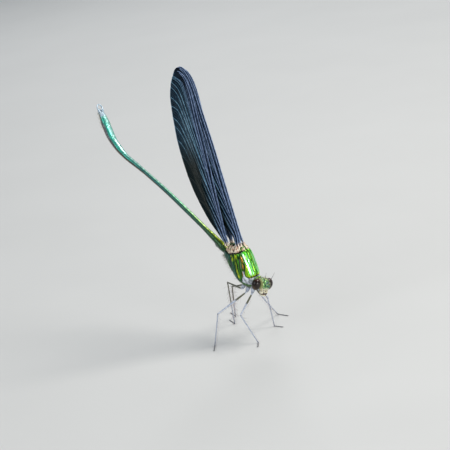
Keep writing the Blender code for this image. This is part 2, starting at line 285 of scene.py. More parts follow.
def add_limb(shape, points, radii, sides, reference, count, **values):
    """One limb along a smooth curve through a few points, with round ends."""
    path = curve(points, count)
    size = np.clip(curve(np.asarray(radii, float)[:, None], count)[:, 0], 1e-3, None)
    bulge = np.sin(np.radians((15, 40, 65)))
    for _ in range(2):
        outward = unit(path[-1] - path[-2])
        path = np.vstack([path, path[-1] + outward * size[-1] * bulge[:, None]])[::-1]
        size = np.concatenate([size, size[-1] * np.sqrt(1 - bulge**2)])[::-1]
    add_tubes(shape, path[None], size[None], sides, reference, **values)


def add_knob(shape, centre, radii, rows, columns, power=1.0, **values):
    """A ball in the head's frame."""
    add_loft(shape, in_head(ball(centre, radii, rows, columns, power)), **values)


def ball(centre, radii, rows, columns, power=1.0):
    """A ball's rings from its lower to its upper pole, stretched to its radii."""
    rise = np.radians(np.linspace(-88, 88, rows))[:, None]
    angle = 2 * np.pi * np.arange(columns)[None] / columns
    x, y = np.cos(rise) ** power * np.cos(angle), np.cos(rise) ** power * np.sin(angle)
    z = np.sin(rise) * np.ones_like(angle)
    return np.asarray(centre) + np.stack([x, y, z], -1) * np.asarray(radii)


def grid_normals(rings):
    """Outward directions at the points of closed rings."""
    down = np.gradient(rings, axis=0)
    around = np.roll(rings, -1, 1) - np.roll(rings, 1, 1)
    normals = unit(np.cross(around, down))
    outward = rings - rings.mean(1, keepdims=True)
    return normals * np.sign((normals * outward).sum(-1, keepdims=True) + 1e-9)


# Materials

BUMP_STRENGTH = 0.6
SHARP_ANGLE = 50  # edges with a wider angle between their faces look sharp


class Paint:
    """A procedural material round one Principled shader; constants go on the shader's own sockets."""

    def __init__(self, name, **constants):
        self.material = bpy.data.materials.new(name)
        self.material.use_nodes = True
        self.tree = self.material.node_tree
        self.shader = self.tree.nodes["Principled BSDF"]
        for socket, value in constants.items():
            self.shader.inputs[socket.replace("_", " ")].default_value = value
        self.place = self.tree.nodes.new("ShaderNodeTexCoord").outputs["Object"]

    def node(self, kind, output, inputs, **settings):
        node = self.tree.nodes.new(f"ShaderNode{kind}")
        for key, value in settings.items():
            setattr(node, key, value)
        for key, value in inputs.items():
            self.put(node.inputs[key], value)
        return node.outputs[output]

    def put(self, socket, value):
        if isinstance(value, bpy.types.NodeSocket):
            self.tree.links.new(value, socket)
        else:
            socket.default_value = (*value, 1) if socket.type == "RGBA" else value

    def value(self, name):
        """A named value of the mesh's points."""
        return self.node("Attribute", "Fac", {}, attribute_name=name)

    def noise(self, size, detail=3):
        """Soft random patches of about this size, from 0 to 1."""
        inputs = {"Vector": self.place, "Scale": 1 / (size * MM), "Detail": detail}
        return self.node("TexNoise", "Fac", inputs)

    def cells(self, size, output="Distance", feature="F1"):
        inputs = {"Vector": self.place, "Scale": 1 / (size * MM)}
        return self.node("TexVoronoi", output, inputs, feature=feature)

    def span(self, x, low, high):
        """Takes x from low..high to 0..1."""
        return self.node("MapRange", "Result", {"Value": x, "From Min": low, "From Max": high})

    def onto(self, x, low, high):
        """Takes x from 0..1 to low..high."""
        return self.node("MapRange", "Result", {"Value": x, "To Min": low, "To Max": high})

    def combine(self, operation, first, second):
        return self.node("Math", "Value", {0: first, 1: second}, operation=operation)

    def mix(self, share, first, second):
        node = self.tree.nodes.new("ShaderNodeMix")
        node.data_type = "RGBA"
        used = [socket for socket in node.inputs if socket.enabled]
        for socket, value in zip(used, (share, first, second)):
            self.put(socket, value)
        return next(socket for socket in node.outputs if socket.enabled)

    def patches(self, size, first, second, low=0.35, high=0.65, detail=3):
        """Two colours in soft patches."""
        return self.mix(self.span(self.noise(size, detail), low, high), first, second)

    def layers(self, colour, *tops):
        """Lays colours over one another, each by a named value of the mesh or by another share."""
        for share, top in tops:
            colour = self.mix(self.value(share) if isinstance(share, str) else share, colour, top)
        return colour

    def finish(self, colour, roughness=None, height=None, depth=0.01):
        """Sets colour and roughness, and a bump of this depth."""
        self.put(self.shader.inputs["Base Color"], colour)
        if roughness is not None:
            low, high, pattern = roughness
            self.put(self.shader.inputs["Roughness"], self.onto(pattern, low, high))
        if height is not None:
            inputs = {"Height": height, "Distance": depth * MM, "Strength": BUMP_STRENGTH}
            self.put(self.shader.inputs["Normal"], self.node("Bump", "Normal", inputs))
        return self.material


def thorax_paint():
    """Polished green metal: a bright shoulder with lime streaks and painted mint-white highlight streaks,
    teal sides and a warm seam. The green is painted lighter and darker along sheen streaks, a painted sheen,
    and patches of painted pale blue-white highlight lie low in front.
    """
    paint = Paint("thorax_green", Coat_Weight=0.18, Coat_Roughness=0.06)
    fine, streak = paint.noise(0.12, 4), paint.value("streak")
    pale = paint.combine("MULTIPLY", paint.value("pale"), paint.span(streak, 0.25, 0.6))
    warm = paint.combine("MULTIPLY", paint.value("warm"), paint.span(streak, 0.2, 0.5))
    colour = paint.layers(
        # Lighter and darker copies of each green along the sheen streaks: a painted streaky sheen.
        paint.mix(streak, (0.003, 0.032, 0.004), (0.05, 0.27, 0.006)),
        ("shoulder", paint.mix(streak, (0.02, 0.30, 0.006), (0.14, 0.82, 0.04))),
        ("teal", paint.mix(streak, (0.002, 0.030, 0.024), (0.008, 0.12, 0.075))),
        ("lime", paint.mix(streak, (0.22, 0.50, 0.010), (0.66, 0.80, 0.03))),
        # Painted highlights: mint-white streaks down the shoulder and on the collar's ridges.
        ("mint", (0.62, 1.0, 0.70)),
        (pale, paint.mix(streak, (0.26, 0.44, 0.004), (0.74, 0.86, 0.01))),
        (warm, (0.66, 0.26, 0.04)),
        ("ash", paint.mix(fine, (0.16, 0.12, 0.12), (0.42, 0.34, 0.32))),
        ("belly", paint.mix(fine, (0.02, 0.05, 0.016), (0.10, 0.14, 0.06))),
        # Painted highlight: pale blue-white patches with dark slate between, low in front and under the
        # collar.
        ("ice", paint.patches(0.5, (0.80, 0.84, 0.92), (0.12, 0.17, 0.24), 0.48, 0.64)),
        ("cream", paint.patches(0.4, (0.62, 0.36, 0.25), (0.86, 0.76, 0.60), 0.4, 0.6, 2)),
        ("dark", (0.002, 0.007, 0.009)),
    )
    dull = paint.combine("MAXIMUM", paint.value("ice"), paint.value("belly"))
    dull = paint.combine("MAXIMUM", paint.value("cream"), dull)
    paint.put(paint.shader.inputs["Metallic"], paint.onto(dull, 0.7, 0.05))
    return paint.finish(colour, (0.16, 0.34, fine), paint.combine("ADD", fine, paint.cells(0.06)), 0.005)


def mouth_paint():
    """Cream shell with brown edges and points."""
    paint = Paint("mouth_shell", Coat_Weight=0.3, Coat_Roughness=0.15)
    fine = paint.noise(0.07, 4)
    shell = paint.patches(0.3, (0.66, 0.58, 0.32), (0.88, 0.88, 0.76))
    colour = paint.layers(shell, ("brown", (0.07, 0.022, 0.010)))
    return paint.finish(colour, (0.25, 0.45, fine), fine, 0.005)


def plain_paint(name, first, second, size, rough, depth=0.004, **constants):
    """Two colours in soft patches, with a fine grain."""
    paint = Paint(name, **constants)
    fine = paint.noise(size / 6, 4)
    return paint.finish(paint.patches(size, first, second, detail=4), (*rough, fine), fine, depth)


def abdomen_paint():
    """Green at the base, teal towards the tip, with a bright painted highlight along the crest, dull flanks
    with a pale teal-grey painted highlight low near the base, and a pale end.
    """
    paint = Paint("abdomen_metal", Coat_Weight=0.3, Coat_Roughness=0.08)
    along, fine, spots = paint.value("along"), paint.noise(0.1, 4), paint.noise(0.3, 3)
    patches, end = paint.span(spots, 0.35, 0.65), paint.span(along, 0.970, 0.984)
    # Painted highlight along the crest: lime at the base, mint-green in the middle, mint-white at the tip.
    crest = paint.layers(
        (0.85, 1.0, 0.05),
        (paint.span(along, 0.05, 0.35), (0.42, 1.0, 0.62)),
        (paint.span(along, 0.4, 0.75), (0.60, 1.0, 0.92)),
    )
    # The flanks: pale teal-grey near the base, a painted highlight low on the side, then dark, then the
    # underside's own grey-lilac towards the tip.
    low = paint.layers(
        (0.10, 0.22, 0.19),
        (paint.span(along, 0.3, 0.5), (0.045, 0.055, 0.035)),
        (paint.span(along, 0.75, 0.88), (0.24, 0.25, 0.30)),
    )
    fringe = paint.combine("MULTIPLY", paint.value("edge"), paint.span(paint.noise(0.22, 2), 0.4, 0.5))
    colour = paint.layers(
        paint.mix(patches, (0.003, 0.035, 0.008), (0.014, 0.10, 0.018)),
        (paint.span(along, 0.08, 0.5), paint.mix(patches, (0.002, 0.05, 0.045), (0.006, 0.15, 0.13))),
        (paint.span(along, 0.62, 0.82), paint.mix(patches, (0.010, 0.32, 0.23), (0.05, 0.60, 0.44))),
        ("crest", crest),
        (end, paint.mix(patches, (0.26, 0.40, 0.50), (0.60, 0.72, 0.80))),
        ("flank", paint.mix(patches, low, (0.020, 0.020, 0.014))),
        (fringe, paint.mix(spots, (0.30, 0.26, 0.14), (0.72, 0.62, 0.50))),
        ("dark", (0.008, 0.014, 0.012)),
    )
    dull = paint.combine("MAXIMUM", paint.value("flank"), end)
    paint.put(paint.shader.inputs["Metallic"], paint.onto(dull, 0.65, 0.1))
    return paint.finish(colour, (0.18, 0.4, fine), paint.combine("ADD", fine, paint.cells(0.07)), 0.006)


def head_paint():
    """Green mosaic above, a teal band across the nose, a pale lip, cream beside the eyes and dark seams."""
    paint = Paint("head_shell", Metallic=0.3, Coat_Weight=0.3, Coat_Roughness=0.1)
    fine, mosaic = paint.noise(0.08, 4), paint.value("mosaic")
    tone = paint.node("SeparateColor", "Red", {"Color": paint.cells(0.22, "Color", "SMOOTH_F1")})
    yellow = paint.combine("MULTIPLY", mosaic, paint.span(tone, 0.60, 0.78))
    teal = paint.combine("MULTIPLY", mosaic, paint.span(tone, 0.44, 0.28))
    teal = paint.combine("MAXIMUM", paint.value("teal"), teal)
    colour = paint.layers(
        paint.patches(0.3, (0.045, 0.21, 0.035), (0.22, 0.52, 0.12), 0.4, 0.6, 2),
        (yellow, (0.70, 0.82, 0.28)),
        (teal, (0.004, 0.065, 0.05)),
        ("pale", (0.78, 0.88, 0.66)),
        ("cream", (0.55, 0.45, 0.22)),
        ("mint", (0.30, 0.55, 0.42)),
        ("dark", (0.006, 0.008, 0.007)),
    )
    return paint.finish(colour, (0.22, 0.45, fine), paint.combine("ADD", fine, paint.cells(0.05)), 0.006)


def eye_paint():
    """Glossy brown-black facets, red-brown behind and above, lighter and olive low down."""
    paint = Paint("eye_facets", Coat_Weight=0.3, Coat_Roughness=0.10, Specular_IOR_Level=0.28)
    colour = paint.layers(
        paint.mix(paint.noise(0.5, 2), (0.004, 0.0015, 0.001), (0.012, 0.004, 0.002)),
        ("low", (0.055, 0.030, 0.009)),
        ("rim", (0.040, 0.008, 0.005)),
    )
    return paint.finish(colour, (0.20, 0.28, paint.noise(0.2, 3)), paint.cells(0.045), 0.004)


def leg_paint():
    """Slate-grey limbs with painted light and shade: olive-grey where shaded, silvery blue where lit, slate
    lower down where the painted light fades, dark at the joints.
    """
    paint = Paint("leg_shell", Metallic=0.2, Coat_Weight=0.3, Coat_Roughness=0.15)
    fine = paint.noise(0.07, 4)
    colour = paint.layers(
        paint.mix(fine, (0.035, 0.045, 0.065), (0.10, 0.125, 0.17)),
        # Painted light and shade: silvery blue where lit, olive-grey where shaded.
        ("silver", paint.patches(0.35, (0.34, 0.40, 0.52), (0.64, 0.68, 0.78))),
        ("olive", paint.mix(fine, (0.075, 0.08, 0.045), (0.15, 0.15, 0.10))),
        ("dark", (0.012, 0.012, 0.016)),
    )
    return paint.finish(colour, (0.25, 0.5, fine), fine, 0.006)


def membrane_paint():
    """A deep blue, nearly black sheet that turns green-black low at the rear."""
    paint = Paint("wing_membrane", Specular_Tint=(0.2, 0.45, 1, 1), Specular_IOR_Level=0.15)
    grain = paint.noise(0.25, 3)
    sheet = paint.patches(1.2, (0.001, 0.003, 0.006), (0.005, 0.014, 0.026), 0.3, 0.7, 4)
    return paint.finish(paint.layers(sheet, ("rear", (0.001, 0.005, 0.003))), (0.3, 0.5, grain), grain, 0.01)


def vein_paint():
    """Veins steel blue at the rear and lilac-blue in front; the fine and the rear ones are dark."""
    paint = Paint("wing_veins", Metallic=0.2, Coat_Weight=0.1, Coat_Roughness=0.25)
    steel = paint.patches(0.6, (0.07, 0.20, 0.31), (0.22, 0.45, 0.62))
    lilac = paint.patches(0.6, (0.08, 0.14, 0.27), (0.24, 0.34, 0.56))
    colour = paint.layers(
        (0.006, 0.018, 0.030),
        ("main", paint.mix(paint.value("front"), steel, lilac)),
        ("rear", (0.003, 0.010, 0.007)),
        ("root", paint.patches(0.3, (0.60, 0.38, 0.28), (0.84, 0.76, 0.62), 0.4, 0.6, 2)),
    )
    return paint.finish(colour, (0.3, 0.5, paint.noise(0.1, 3)), paint.noise(0.05, 2), 0.004)


PAINTS = {
    "thorax": thorax_paint(),
    "abdomen": abdomen_paint(),
    "head": head_paint(),
    "eye": eye_paint(),
    "leg": leg_paint(),
    "membrane": membrane_paint(),
    "vein": vein_paint(),
    "mouth": mouth_paint(),
    "clasper": plain_paint(
        "clasper_shell", (0.30, 0.42, 0.52), (0.60, 0.70, 0.78), 0.3, (0.2, 0.4), Metallic=0.3
    ),
    "dark": plain_paint("dark_shell", (0.012, 0.012, 0.014), (0.04, 0.038, 0.04), 0.3, (0.3, 0.55)),
    "skin": plain_paint("soft_skin", (0.10, 0.09, 0.06), (0.22, 0.20, 0.14), 0.2, (0.5, 0.8), 0.01),
    "ocellus": plain_paint("ocellus_glass", (0.45, 0.32, 0.14), (0.7, 0.55, 0.3), 0.2, (0.08, 0.15)),
    "pale_hair": plain_paint("pale_hair", (0.34, 0.35, 0.27), (0.62, 0.61, 0.50), 0.6, (0.4, 0.6)),
    "dark_hair": plain_paint("dark_bristle", (0.14, 0.11, 0.12), (0.42, 0.34, 0.35), 0.6, (0.35, 0.55)),
}


def make_piece(name, shape, paint, nodes=()):
    """Turns a shape into an object in metres that rides on the animal and stands for its solids."""
    mesh = bpy.data.meshes.new(name)
    points = np.concatenate([points for points, _, _ in shape.chunks]) * MM
    mesh.from_pydata(points.tolist(), [], shape.faces)
    mesh.materials.append(PAINTS[paint])
    for value in shape.names():
        mesh.attributes.new(value, "FLOAT", "POINT").data.foreach_set("value", shape.value(value))
    if shape.chunks[0][1] is not None:
        places = np.concatenate([uv for _, uv, _ in shape.chunks])
        corners = np.empty(len(mesh.loops), int)
        mesh.loops.foreach_get("vertex_index", corners)
        layer = mesh.uv_layers.new(name="OFBake")
        layer.uv.foreach_set("vector", places[corners].astype(np.float32).ravel())
    mesh.validate()
    mesh.shade_smooth()
    mesh.set_sharp_from_angle(angle=math.radians(SHARP_ANGLE))
    piece = bpy.data.objects.new(name, mesh)
    bpy.context.scene.collection.objects.link(piece)
    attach(piece, "root")
    if nodes:
        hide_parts(*nodes)


# Hairs

FLOOR_GAP = 0.03  # how far hairs stay above the floor
HAIR_TAPER = (1.0, 0.8, 0.5, 0.12)
# Hairs by part: how many, their length and thickness, how far they stand up, and their slot.
HAIRS = {
    "thorax": (800, 0.5, 0.010, 0.9, "thorax_shell"),
    "collar": (220, 0.4, 0.009, 1.0, "thorax_shell"),
    "abdomen": (700, 0.45, 0.009, 0.7, "abdomen_shell"),
    "head": (240, 0.34, 0.007, 1.1, "head_shell"),
}


def add_hairs(shape, roots, outward, lie, lengths, thickness, uv, stand, sides=3):
    """Fine curved hairs that stand out from the skin and bend over the way they lie."""
    count = len(roots)
    t = np.linspace(0, 1, 4)[None, :, None]
    lean = unit(lie + RANDOM.normal(0, 0.25, (count, 3)))
    rise = unit(outward + RANDOM.normal(0, 0.2, (count, 3)))
    reach = np.reshape(lengths, (-1, 1, 1))
    paths = roots[:, None] + reach * (rise[:, None] * stand * t * (1.6 - 0.6 * t) + lean[:, None] * t**1.5)
    paths[..., 2] = np.maximum(paths[..., 2], FLOOR_GAP)
    taper = thickness * np.array(HAIR_TAPER)
    reference = np.cross(outward, lie) + 1e-3
    add_tubes(shape, paths, taper[None], sides, reference, uv)


def skin_hairs(part, rings, chance, lie):
    """Puts hairs on a ringed skin, more where chance is high, with their spots on its unwrap."""
    count, length, thickness, stand, slot = HAIRS[part]
    weights = np.ravel(chance) / np.sum(chance)
    picked = RANDOM.choice(weights.size, count, p=weights)
    row, column = np.unravel_index(picked, chance.shape)
    roots, outward = rings[row, column], grid_normals(rings)[row, column]
    lengths = length * RANDOM.uniform(0.6, 1.2, count)
    uv = np.stack([row / rings.shape[0], column / rings.shape[1]], -1) * 0.99 + 0.004
    shape = Shape()
    add_hairs(shape, roots, outward, np.broadcast_to(lie, outward.shape), lengths, thickness, uv, stand)
    make_piece(f"{part}_hairs", shape, "pale_hair")


# Thorax


def round_ends(rings, depth, steps):
    """Adds rings that close both ends of a skin in a soft dome."""
    added = []
    for end, inner in ((0, 1), (-1, -2)):
        middle = rings[end].mean(0)
        outward = unit(middle - rings[inner].mean(0))
        turn = np.radians(np.linspace(90 / steps, 86, steps))
        dome = [middle + (rings[end] - middle) * math.cos(a) + outward * depth * math.sin(a) for a in turn]
        added.append(np.array(dome))
    return np.concatenate([added[0][::-1], rings, added[1]])


def add_domed(shape, rings, place, depth, steps, values):
    """A skin with domed ends in its own frame. The values at its ends run on over the domes."""
    spread = {}
    for name, value in values.items():
        grid = np.broadcast_to(value, rings.shape[:2])
        spread[name] = np.pad(grid, ((steps, steps), (0, 0)), mode="edge")
    add_loft(shape, place(round_ends(rings, depth, steps)), **spread)


def section_rings(sections, rows, columns):
    """Smooth rings through the sections in the body's frame, from the left side round over the back."""
    low_x, low_z, high_x, high_z, half = curve(sections, rows).T[:, :, None]
    angle = 2 * np.pi * (np.arange(columns) + 0.5)[None] / columns
    c, s = np.cos(angle), np.sin(angle)
    wide = np.sign(c) * np.abs(c) ** (2 / SECTION_SQUARENESS)
    tall = np.sign(s) * np.abs(s) ** (2 / SECTION_SQUARENESS)
    x = (low_x + high_x) / 2 + (high_x - low_x) / 2 * tall
    z = (low_z + high_z) / 2 + (high_z - low_z) / 2 * tall
    return np.stack([x, half * wide, z], -1)


def wing_area(side_view):
    """1 above the line where the wings leave the thorax."""
    line = curve(WING_LINE, 40)[::-1]
    height = np.interp(side_view[..., 0], line[:, 0], line[:, 1])
    return step(side_view[..., 1] - height, 0.0, 0.12) * step(side_view[..., 0], -2.0, -2.3)


def thorax_sheen_streaks(rings):
    """Waves that run down the sides of the thorax along its seams, from 0 to 1. They paint streaks of
    lighter and darker green, a painted streaky sheen, and ripple the shape a little.
    """
    along, across = rings[..., 2] * 0.8 - rings[..., 0] * 0.6, rings[..., 0] * 0.8 + rings[..., 2] * 0.6
    places = np.stack([along, across, rings[..., 1]], -1)
    waves = ripples(places, (3.2, 0.30, 0.30)) + 0.6 * ripples(places + 7, (1.3, 0.14, 0.15))
    return step(waves, -0.35, 0.35)


def side_seams(view, width):
    return sum(near_line(view, line, width) for line in SIDE_SEAMS)


def thorax_rings():
    """The thorax's skin with its grooves and ridge, and the measures that its markings, painted highlights
    and painted sheen are drawn from.
    """
    rings = section_rings(THORAX_SECTIONS, *THORAX_GRID)
    view, y, outward = rings[..., [0, 2]], rings[..., 1], grid_normals(rings)
    side = step(np.abs(y), 0.5, 0.9)
    wings, streak = wing_area(view), thorax_sheen_streaks(rings)
    on_top, body = step(outward[..., 2] + outward[..., 0], 0.2, 0.5), 1 - wings
    grooves = side_seams(view, 0.10) * side * body + 0.9 * near_line(view, SHOULDER_EDGE, 0.11)
    ridge = bump(y, 0, 0.08) * on_top * body
    hollow = bump(np.abs(y), 0.28, 0.16) * on_top * body
    lift = 0.13 * ridge - 0.05 * hollow - 0.14 * capped(grooves) - 0.2 * wings + 0.05 * streak * body
    lift -= 0.18 * near_line(view, WING_LINE, 0.11) * side
    return rings + outward * lift[..., None], view, y, on_top, side, wings, streak


def shoulder_values(view, y, wings):
    """The shoulder plate, its lime streaks, its painted mint-white highlight streaks and the painted pale
    blue-white highlight low in front of it. The streaks are counted from the seam beside the plate (0) to
    the middle ridge (1).
    """
    seam, edge = curve(HUMERAL_SEAM, 40), curve(SHOULDER_EDGE, 30)
    ahead = view[..., 0] - np.interp(view[..., 1], seam[:, 1], seam[:, 0])
    above = view[..., 1] - np.interp(view[..., 0], edge[:, 0], edge[:, 1])
    shoulder = step(ahead, 0.0, 0.15) * step(above, 0.0, 0.15) * (1 - wings)
    share = 1 - (np.abs(y) - 0.1) / 1.85 + 0.03 * np.sin(2.5 * view[..., 1])
    lime = step(-share, -0.22, -0.12) + 0.9 * step(-above, -0.75, -0.35) + 0.5 * bump(share, 0.9, 0.06)
    # Painted highlights: two mint-white streaks down the shoulder plate.
    mint = bump(share, 0.68, 0.05) + 1.3 * bump(share, 0.34 - 0.03 * (view[..., 1] - 4.5), 0.075)
    mint = mint * step(above, 0.35, 0.8) * step(-view[..., 1], -6.9, -6.2)
    # Painted highlight: a pale blue-white patch low in front of the shoulder.
    ice = step(ahead, -0.55, -0.3) * step(-above, 0.0, 0.12) * step(view[..., 1], 0.5, 0.9)
    return shoulder, capped(lime) * shoulder, capped(mint) * shoulder, ice


def make_thorax():
    """The thorax with its markings, painted highlights, painted sheen and hairs. Returns its skin's rings.
    """
    rings, view, y, on_top, side, wings, streak = thorax_rings()
    forward, height = view[..., 0], view[..., 1]
    low_line = np.interp(forward, (-6.9, -4.5, -1.4, 1.7), (3.1, 1.7, -0.1, 0.1))
    shoulder, lime, mint, ice = shoulder_values(view, y, wings)
    dark = 0.9 * side_seams(view, 0.075) * side * (1 - wings) + 1.2 * near_line(view, WING_LINE, 0.16) * side
    below = fall(height - low_line, -0.5, 0.0)
    dark += below * (0.7 * bump(y, 0, 0.06) + 0.6 * bump(np.abs(y), 0.85 + 0.25 * np.sin(forward), 0.07))
    dark += 0.8 * wings + bump(y, 0, 0.13) * on_top + near_line(view, SHOULDER_EDGE, 0.09)
    # Darker patches inside the painted blue-white highlight.
    dark += 0.5 * ice * step(-streak, -0.35, -0.15)
    teal = near_line(view, TEAL_BAND, 0.8) + step(-forward, 4.6, 5.2)
    pale = near_line(view, PALE_BAND, 0.26) + near_line(view, PALE_TOP, 0.3)
    values = {
        "streak": streak,
        "shoulder": shoulder,
        "lime": lime,
        "mint": mint,
        "ice": ice,
        "teal": capped(teal) * (1 - shoulder),
        "pale": capped(pale) * side,
        "warm": near_line(view, WARM_BAND, 0.13) * side,
        "ash": 0.8 * near_line(view, ASH_BAND, 0.10) * side,
        "belly": fall(height - low_line, -0.3, 0.5),
        "dark": capped(dark),
    }
    shape = Shape()
    add_domed(shape, rings, in_body, 0.35, 5, values)
    make_piece("thorax", shape, "thorax", ["synthorax"])
    rear = step(-forward, 2.5, 5.0) * (1 - wings)
    low = fall(height - low_line, 0.2, 1.3)
    chance = low * (0.25 + rear) + 0.10 * on_top * (1 - wings) * step(-np.abs(y), -0.9, -0.3) + 0.004
    skin_hairs("thorax", in_body(rings), chance, BODY_TURN @ (-0.7, 0, -0.5))
    return rings


def on_thorax(surface, view):
    """Points on the thorax's left side that are seen at these places from the side."""
    left = surface.reshape(-1, 3)
    left = left[left[:, 1] > 0.3]
    away = np.linalg.norm(left[None, :, [0, 2]] - np.asarray(view)[:, None], axis=-1)
    return left[away.argmin(1)]


# Hinge bars: their spacing, how far above the wing line each row starts and ends, their lean and profile.
BAR_SPACING, BAR_ROWS = 0.37, ((0.16, 0.74), (0.8, 1.4))
BAR_LEAN, BAR_PROFILE = (-0.42, 0.9), (0.8, 1.1, 0.95, 0.45)


def make_wing_plates(surface):
    """Rounded bars that stand side by side above the wing line, where the wings hinge."""
    bars = Shape()
    line = curve(WING_LINE, 200)[12:-14]
    run = np.append(0, np.cumsum(np.linalg.norm(np.diff(line, axis=0), axis=1)))
    count = int(run[-1] / BAR_SPACING)
    for _, sign in SIDES:
        for row, (low, high) in enumerate(BAR_ROWS):
            for i in range(count):
                foot = spline(line, [(i + 0.5 + 0.4 * row) / (count + 0.5) * (len(line) - 1)])[0]
                high = high + RANDOM.uniform(-0.12, 0.12)
                width = RANDOM.uniform(0.13, 0.2)
                lean = unit(np.array(BAR_LEAN) + RANDOM.normal(0, 0.09, 2))
                seen = [foot + lean * (low + (high - low) * t) for t in (0, 0.35, 0.7, 1)]
                points = on_thorax(surface, seen) + (0, 0.06, 0.03) + RANDOM.normal(0, 0.03, (4, 3))
                green = 0.8 * float(RANDOM.random() < 0.25)
                # The last value sets how light the painted sheen makes the green.
                colours = {"cream": 1 - green, "lime": 0.5 * green, "streak": 0.2}
                radii = width * np.array(BAR_PROFILE)
                add_limb(bars, in_body(on_side(points, sign)), radii, 12, (1, 0, 0.4), 20, **colours)
    make_piece("wing_plates", bars, "thorax")


def make_collar():
    """The small plate before the thorax: a front collar, a pair of swellings and a raised hind edge."""
    rings = section_rings(COLLAR_SECTIONS, *COLLAR_GRID)
    row = np.linspace(0, 1, COLLAR_GRID[0])[:, None]
    y, outward = rings[..., 1], grid_normals(rings)
    top = step(outward[..., 2], 0.0, 0.5)
    lobes = 0.14 * bump(row, 0.45, 0.16) * bump(np.abs(y), 0.5, 0.35)
    hind, front = 0.16 * bump(row, 0.08, 0.06), 0.10 * bump(row, 0.82, 0.07)
    groove = bump(row, 0.22, 0.04) + bump(row, 0.68, 0.04)
    middle = bump(y, 0, 0.05) * top
    rings = rings + outward * ((lobes + hind + front) * top - 0.08 * groove - 0.05 * middle)[..., None]
    values = {
        # The painted sheen sits halfway between the dark and light greens.
        "streak": 0.5,
        "teal": 0.9 * top * bump(row, 0.1, 0.12),
        "lime": np.clip(5 * lobes, 0, 0.9) * top,
        # Painted highlights: mint-white on the front and hind ridges, pale blue-white on the underside.
        "mint": np.clip(6 * front + 3 * hind, 0, 0.8) * top,
        "ice": fall(outward[..., 2], -0.25, 0.25),
        "dark": capped(0.7 * groove + 0.5 * middle),
    }
    shape = Shape()
    add_domed(shape, rings, in_body, 0.15, 4, values)
    make_piece("collar", shape, "thorax", ["prothorax"])
    skin_hairs("collar", in_body(rings), top + 0.3, BODY_TURN @ (0.6, 0, 0.2))
    neck = Shape()
    folds = np.linspace(0, 1, 25)
    path = in_body(np.array((2.95, 0, 1.35)) + folds[:, None] * (1.1, -0.02, 0.25))
    add_tubes(neck, path[None], (0.42 + 0.04 * np.sin(folds * 30))[None], 24, (0, 1, 0))
    make_piece("neck_folds", neck, "skin", ["neck"])


# Low plates on the back between the wings: place in the body's frame, half sizes and tilt.
BACK_PLATES = (
    ((-2.95, 0, 7.2), (0.6, 0.5, 0.16), 20),
    ((-4.0, 0, 7.25), (0.6, 0.55, 0.18), -6),
    ((-5.1, 0, 6.8), (0.6, 0.62, 0.18), -28),
    ((-6.1, 0, 6.1), (0.6, 0.62, 0.16), -34),
    ((-6.75, 0, 5.55), (0.36, 0.5, 0.18), -50),
)
KNOBS = (
    ((-2.15, 0.62, 7.12), (0.22, 0.2, 0.13), 20),
    ((-5.45, 1.62, 4.8), (0.2, 0.18, 0.16), 20),
    ((-6.45, 1.2, 4.75), (0.2, 0.2, 0.17), 30),
)


def back_plate(place, radii, tilt):
    """A lumpy rounded plate, tilted in the side view."""
    rings = ball((0, 0, 0), radii, 18, 28, 0.8)
    rough = 1 + 0.10 * np.sin(9 * rings[..., 0:1]) * np.cos(8 * rings[..., 2:3] + 3 * place[0])
    return in_body(rings * rough @ turned("Y", tilt).T + np.asarray(place))


def make_back_plates():
    """Plates and knobs on the back between the wings."""
    backs = Shape()
    # Their first value sets how light the painted sheen makes the green.
    for place, radii, tilt in BACK_PLATES:
        add_loft(backs, back_plate(place, radii, tilt), streak=0.3, belly=0.5)
    for _, sign in SIDES:
        for place, radii, tilt in KNOBS:
            knob = back_plate(on_side(place, sign), radii, tilt)
            add_loft(backs, knob, streak=0.3, lime=0.4, cream=0.3)
    make_piece("back_plates", backs, "thorax")


# Abdomen: where it leaves the thorax, its segments' lengths, its rise and half width along it.
ABDOMEN_START = (-7.1, 0, 3.55)
SEGMENT_LENGTHS = (1.2, 2.6, 7.6, 8.3, 7.9, 6.8, 4.9, 2.7, 1.9, 1.45)
ABDOMEN_RISE = ((0, 40), (15, 38), (24, 34.5), (31.6, 31), (36.8, 51), (40.4, 71), (43.5, 74), (48, 64))
ABDOMEN_GIRTH = (
    (0, 0.85), (1.4, 0.95), (3.6, 0.72), (8, 0.55), (26, 0.5), (33, 0.62), (37, 0.82), (40.5, 1.0),
    (42.5, 1.0), (44, 0.82), (45.1, 0.66),
)
# How high on the flanks the dull lower colour reaches along the abdomen, as the sine of the height.
FLANK_BORDER = ((0, -0.3), (6, -0.05), (20, 0.2), (34, 0.42), (42, 0.5), (44.5, 0.1), (45.5, -0.5))
PATH_STEP = 0.2
# Claspers: stations by how far back, how far out and how thick.
UPPER_CLASPER = (
    (0.0, 0.34, 0.26), (0.5, 0.58, 0.22), (1.0, 0.66, 0.17), (1.5, 0.52, 0.16), (1.85, 0.12, 0.13),
)
LOWER_CLASPER = ((-0.1, 0.3, 0.25), (0.3, 0.36, 0.2), (0.6, 0.32, 0.13), (0.85, 0.22, 0.07))
CLASPER_TOOTH = ((0, 0), (0.16, 0.1), (0.26, 0.2))  # how far inward and back from the second station


def abdomen_path():
    """Distances, points and backward directions along the abdomen's middle line."""
    point, path = in_body(ABDOMEN_START), []
    for i in range(round(sum(SEGMENT_LENGTHS) / PATH_STEP) + 12):
        rise = math.radians(between(ABDOMEN_RISE, i * PATH_STEP))
        back = np.array((-math.cos(rise), 0, math.sin(rise)))
        path.append((i * PATH_STEP, *point, *back))
        point = point + back * PATH_STEP
    return np.array(path)


def along_abdomen(path, distance):
    """Points on the middle line and their backward and upward directions."""
    columns = [np.interp(distance, path[:, 0], path[:, i]) for i in range(1, 7)]
    point, back = np.stack(columns[:3], -1), unit(np.stack(columns[3:], -1))
    upward = np.stack([back[..., 2], np.zeros_like(back[..., 0]), -back[..., 0]], -1)
    return point, back, upward


